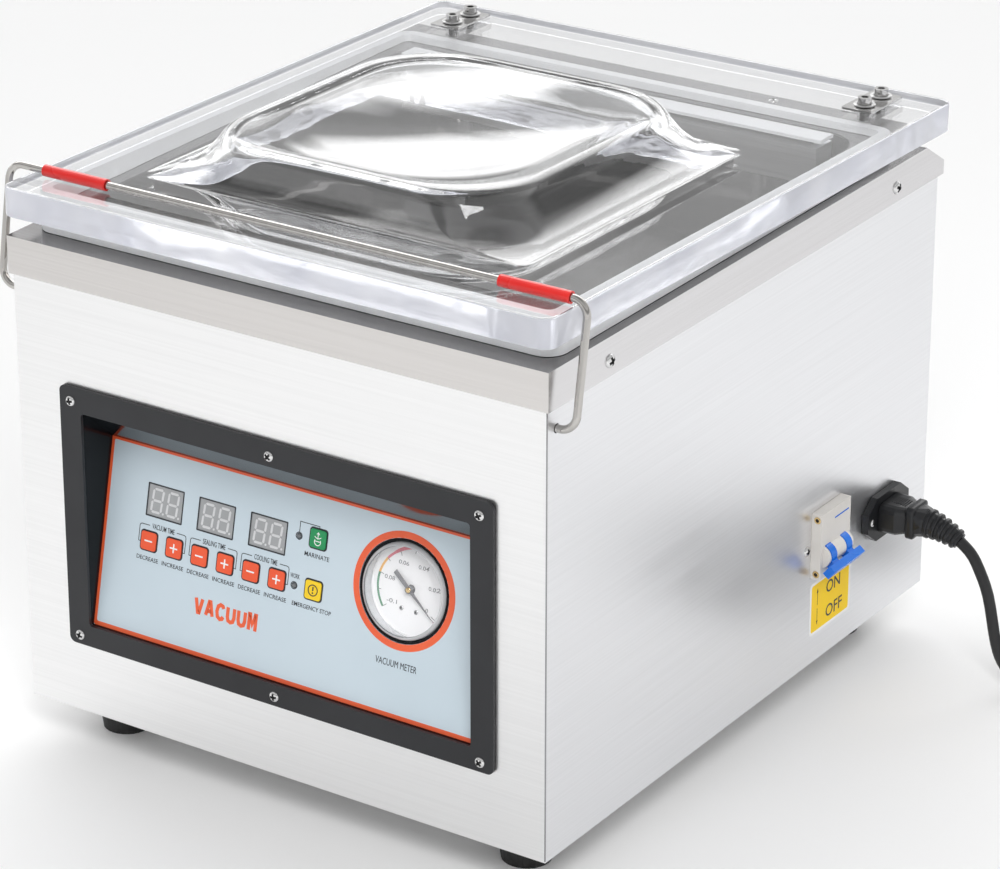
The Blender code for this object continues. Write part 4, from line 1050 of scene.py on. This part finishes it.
def build_gauge_details():
    cover = [(0, 0.0034), (0.008, 0.0033), (0.016, 0.0029), (0.0225, 0.0022), (0.0255, 0.0017),
             (0.027, 0.0008), (0.0277, -0.0008), (0.0277, -0.007), (0.0262, -0.007), (0.026, -0.0012),
             (0.025, 0.0002), (0.0215, 0.001), (0.014, 0.0017), (0, 0.0021)]
    lens = solid("gauge_cover", lathe(cover, 96), GAUGE_PLACE)
    settle(lens, "base", "gauge_glass", "gauge_glass", "gauge_rim_painted_highlight")
    # Faces on the rim take the pale finish, a painted highlight.
    back = GAUGE_PLACE.inverted()
    for face in lens.data.polygons:
        x, y, _ = back @ face.center
        face.material_index = 1 if math.hypot(x, y) > RIM_FROM else 0
    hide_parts("gauge_lens")
    liner = [(0.0256, -0.0079), (0.0256, -0.0073), (0.0277, -0.0073), (0.0277, -0.0079)]
    settle(solid("dial_liner", lathe(liner, 96, True), GAUGE_PLACE), "base", "dial_white")
    cap = [(0, -0.004), (0.0008, -0.0041), (0.0015, -0.0045),
           (0.0019, -0.0051), (0.0019, -0.0056), (0, -0.0056)]
    settle(solid("needle_hub", lathe(cap, 32), GAUGE_PLACE), "gauge_needle", "needle_grey", "brass")
    outward = PANEL.to_3x3() @ Vector(UP)
    fix_screws("dial_screws", screw_head(0.0014), "base",
               [(GAUGE_PLACE @ Vector((x, y, -0.008)), outward, spin)
                for x, y, spin in ((-0.0049, -0.0119, 20), (0.0048, -0.0121, 70))])


build_dial()
build_gauge_details()


# -------- the switch, its label and the inlet

# A frame on the cabinet's right side: its X runs back, its Y up.
SIDE = Matrix(((0, 0, 1, SIDE_FACE), (1, 0, 0, 0), (0, 1, 0, 0), (0, 0, 0, 1)))
NOSE_FACE = 0.1864


def build_switch_details():
    nose = SIDE @ Matrix.Translation((0, 0, NOSE_FACE - SIDE_FACE))
    stripe = prism([(0.0885, 0.1182), (0.105, 0.1182), (0.105, 0.1191), (0.0885, 0.1191)], 0, 0.00008)
    inlay("switch_stripe", [stripe], nose, "base", "toggle_blue")
    rivet = [(0.001, 0.0), (0.0019, 0.0), (0.0022, 0.0003),
             (0.0019, 0.0006), (0.0012, 0.0006), (0.001, 0.0002)]
    # Each rivet's eye is a thin near-black disc in its hole: painted shade.
    eye = [(0, 0.00004), (0.0011, 0.00004), (0.0011, 0.0), (0, 0.0)]
    for k, z in enumerate((0.1222, 0.0872), start=1):
        place = facing((0.1838, 0.0723, z), FRONT)
        settle(solid(f"switch_rivet_{k}", lathe(rivet, 24, True), place), "base", "breaker_grey", "brass")
        hole = solid(f"switch_rivet_painted_shade_{k}", lathe(eye, 24), place)
        settle(hole, "base", "black_moulding", "recess_painted_shade")


def build_switch_label():
    y0, y1, z0, z1 = 0.073, 0.1217, 0.044, 0.0787
    edge = 0.0019
    inner = rounded(y0 + edge, y1 - edge, z0 + edge, z1 - edge, 0.0016)
    rim = band(rounded(y0, y1, z0, z1, 0.0032), inner, 0.00002, 0.00012)
    inlay("switch_label_edge", [rim], SIDE, "base", "dial_white", "white_print")
    inlay("switch_label_field", [prism(inner, 0.00002, 0.00011)], SIDE, "base", "yellow_key", "label_yellow")
    ink = (0.00012, 0.00018)
    parts = [letters("ON", 0.0925, 0.109, 0.0655, 0.0735, *ink),
             letters("OFF", 0.0925, 0.112, 0.0495, 0.0575, *ink)]
    arrow = 0.082
    for low, high, way in ((0.0505, 0.06, -1), (0.0625, 0.072, 1)):
        tip = high if way > 0 else low
        root = tip - way * 0.0016
        parts.append(stroke([(arrow, low), (arrow, high)], 0.0004, *ink))
        parts.append(prism([(0.0811, root), (0.0829, root), (arrow, tip + way * 0.0012)], *ink))
    inlay("switch_label_print", parts, SIDE, "base", "charcoal_bezel", "dark_print")


def build_connector_details():
    """The collar, the grip lines and the ribbed strain relief on the supply connector."""
    y0, z0 = 0.1585, 0.0951
    collar = ((0.2003, 0.0082), (0.201, 0.0098), (0.2015, 0.0102),
              (0.2052, 0.0102), (0.2058, 0.0098), (0.2064, 0.0082))
    parts = [loft([[(x, y0 + y, z0 + z) for y, z in rounded(-half, half, -half, half, 0.003, 5)]
                   for x, half in collar])]
    start, radius = Vector((0.2045, y0, z0)), 0.0606
    for k in range(5):
        turn = (0.0085 + 0.0046 * k) / radius
        centre = start + Vector((radius * math.sin(turn), 0, -radius * (1 - math.cos(turn))))
        place = facing(centre, (math.cos(turn), 0, -math.sin(turn)))
        size = 0.0092 - 0.00065 * k
        inner, eased = size - 0.003, size - 0.0005
        profile = [(inner, -0.0013), (eased, -0.0013), (size, -0.0008),
                   (size, 0.0008), (eased, 0.0013), (inner, 0.0013)]
        verts, faces = lathe(profile, 32, True)
        parts.append(([tuple(place @ Vector(p)) for p in verts], faces))
    for k in range(7):
        x = 0.1895 + 0.0014 * k
        top = z0 + 0.0093 - 0.0012 * smoothstep((x - 0.1945) / 0.0075)
        ridge = [(x - 0.0003, 0.154), (x + 0.0003, 0.154), (x + 0.0003, 0.163), (x - 0.0003, 0.163)]
        parts.append(prism(ridge, top - 0.0012, top + 0.0003))
    inlay("connector_details", parts, None, "base", "black_moulding")


build_switch_details()
build_switch_label()
build_connector_details()
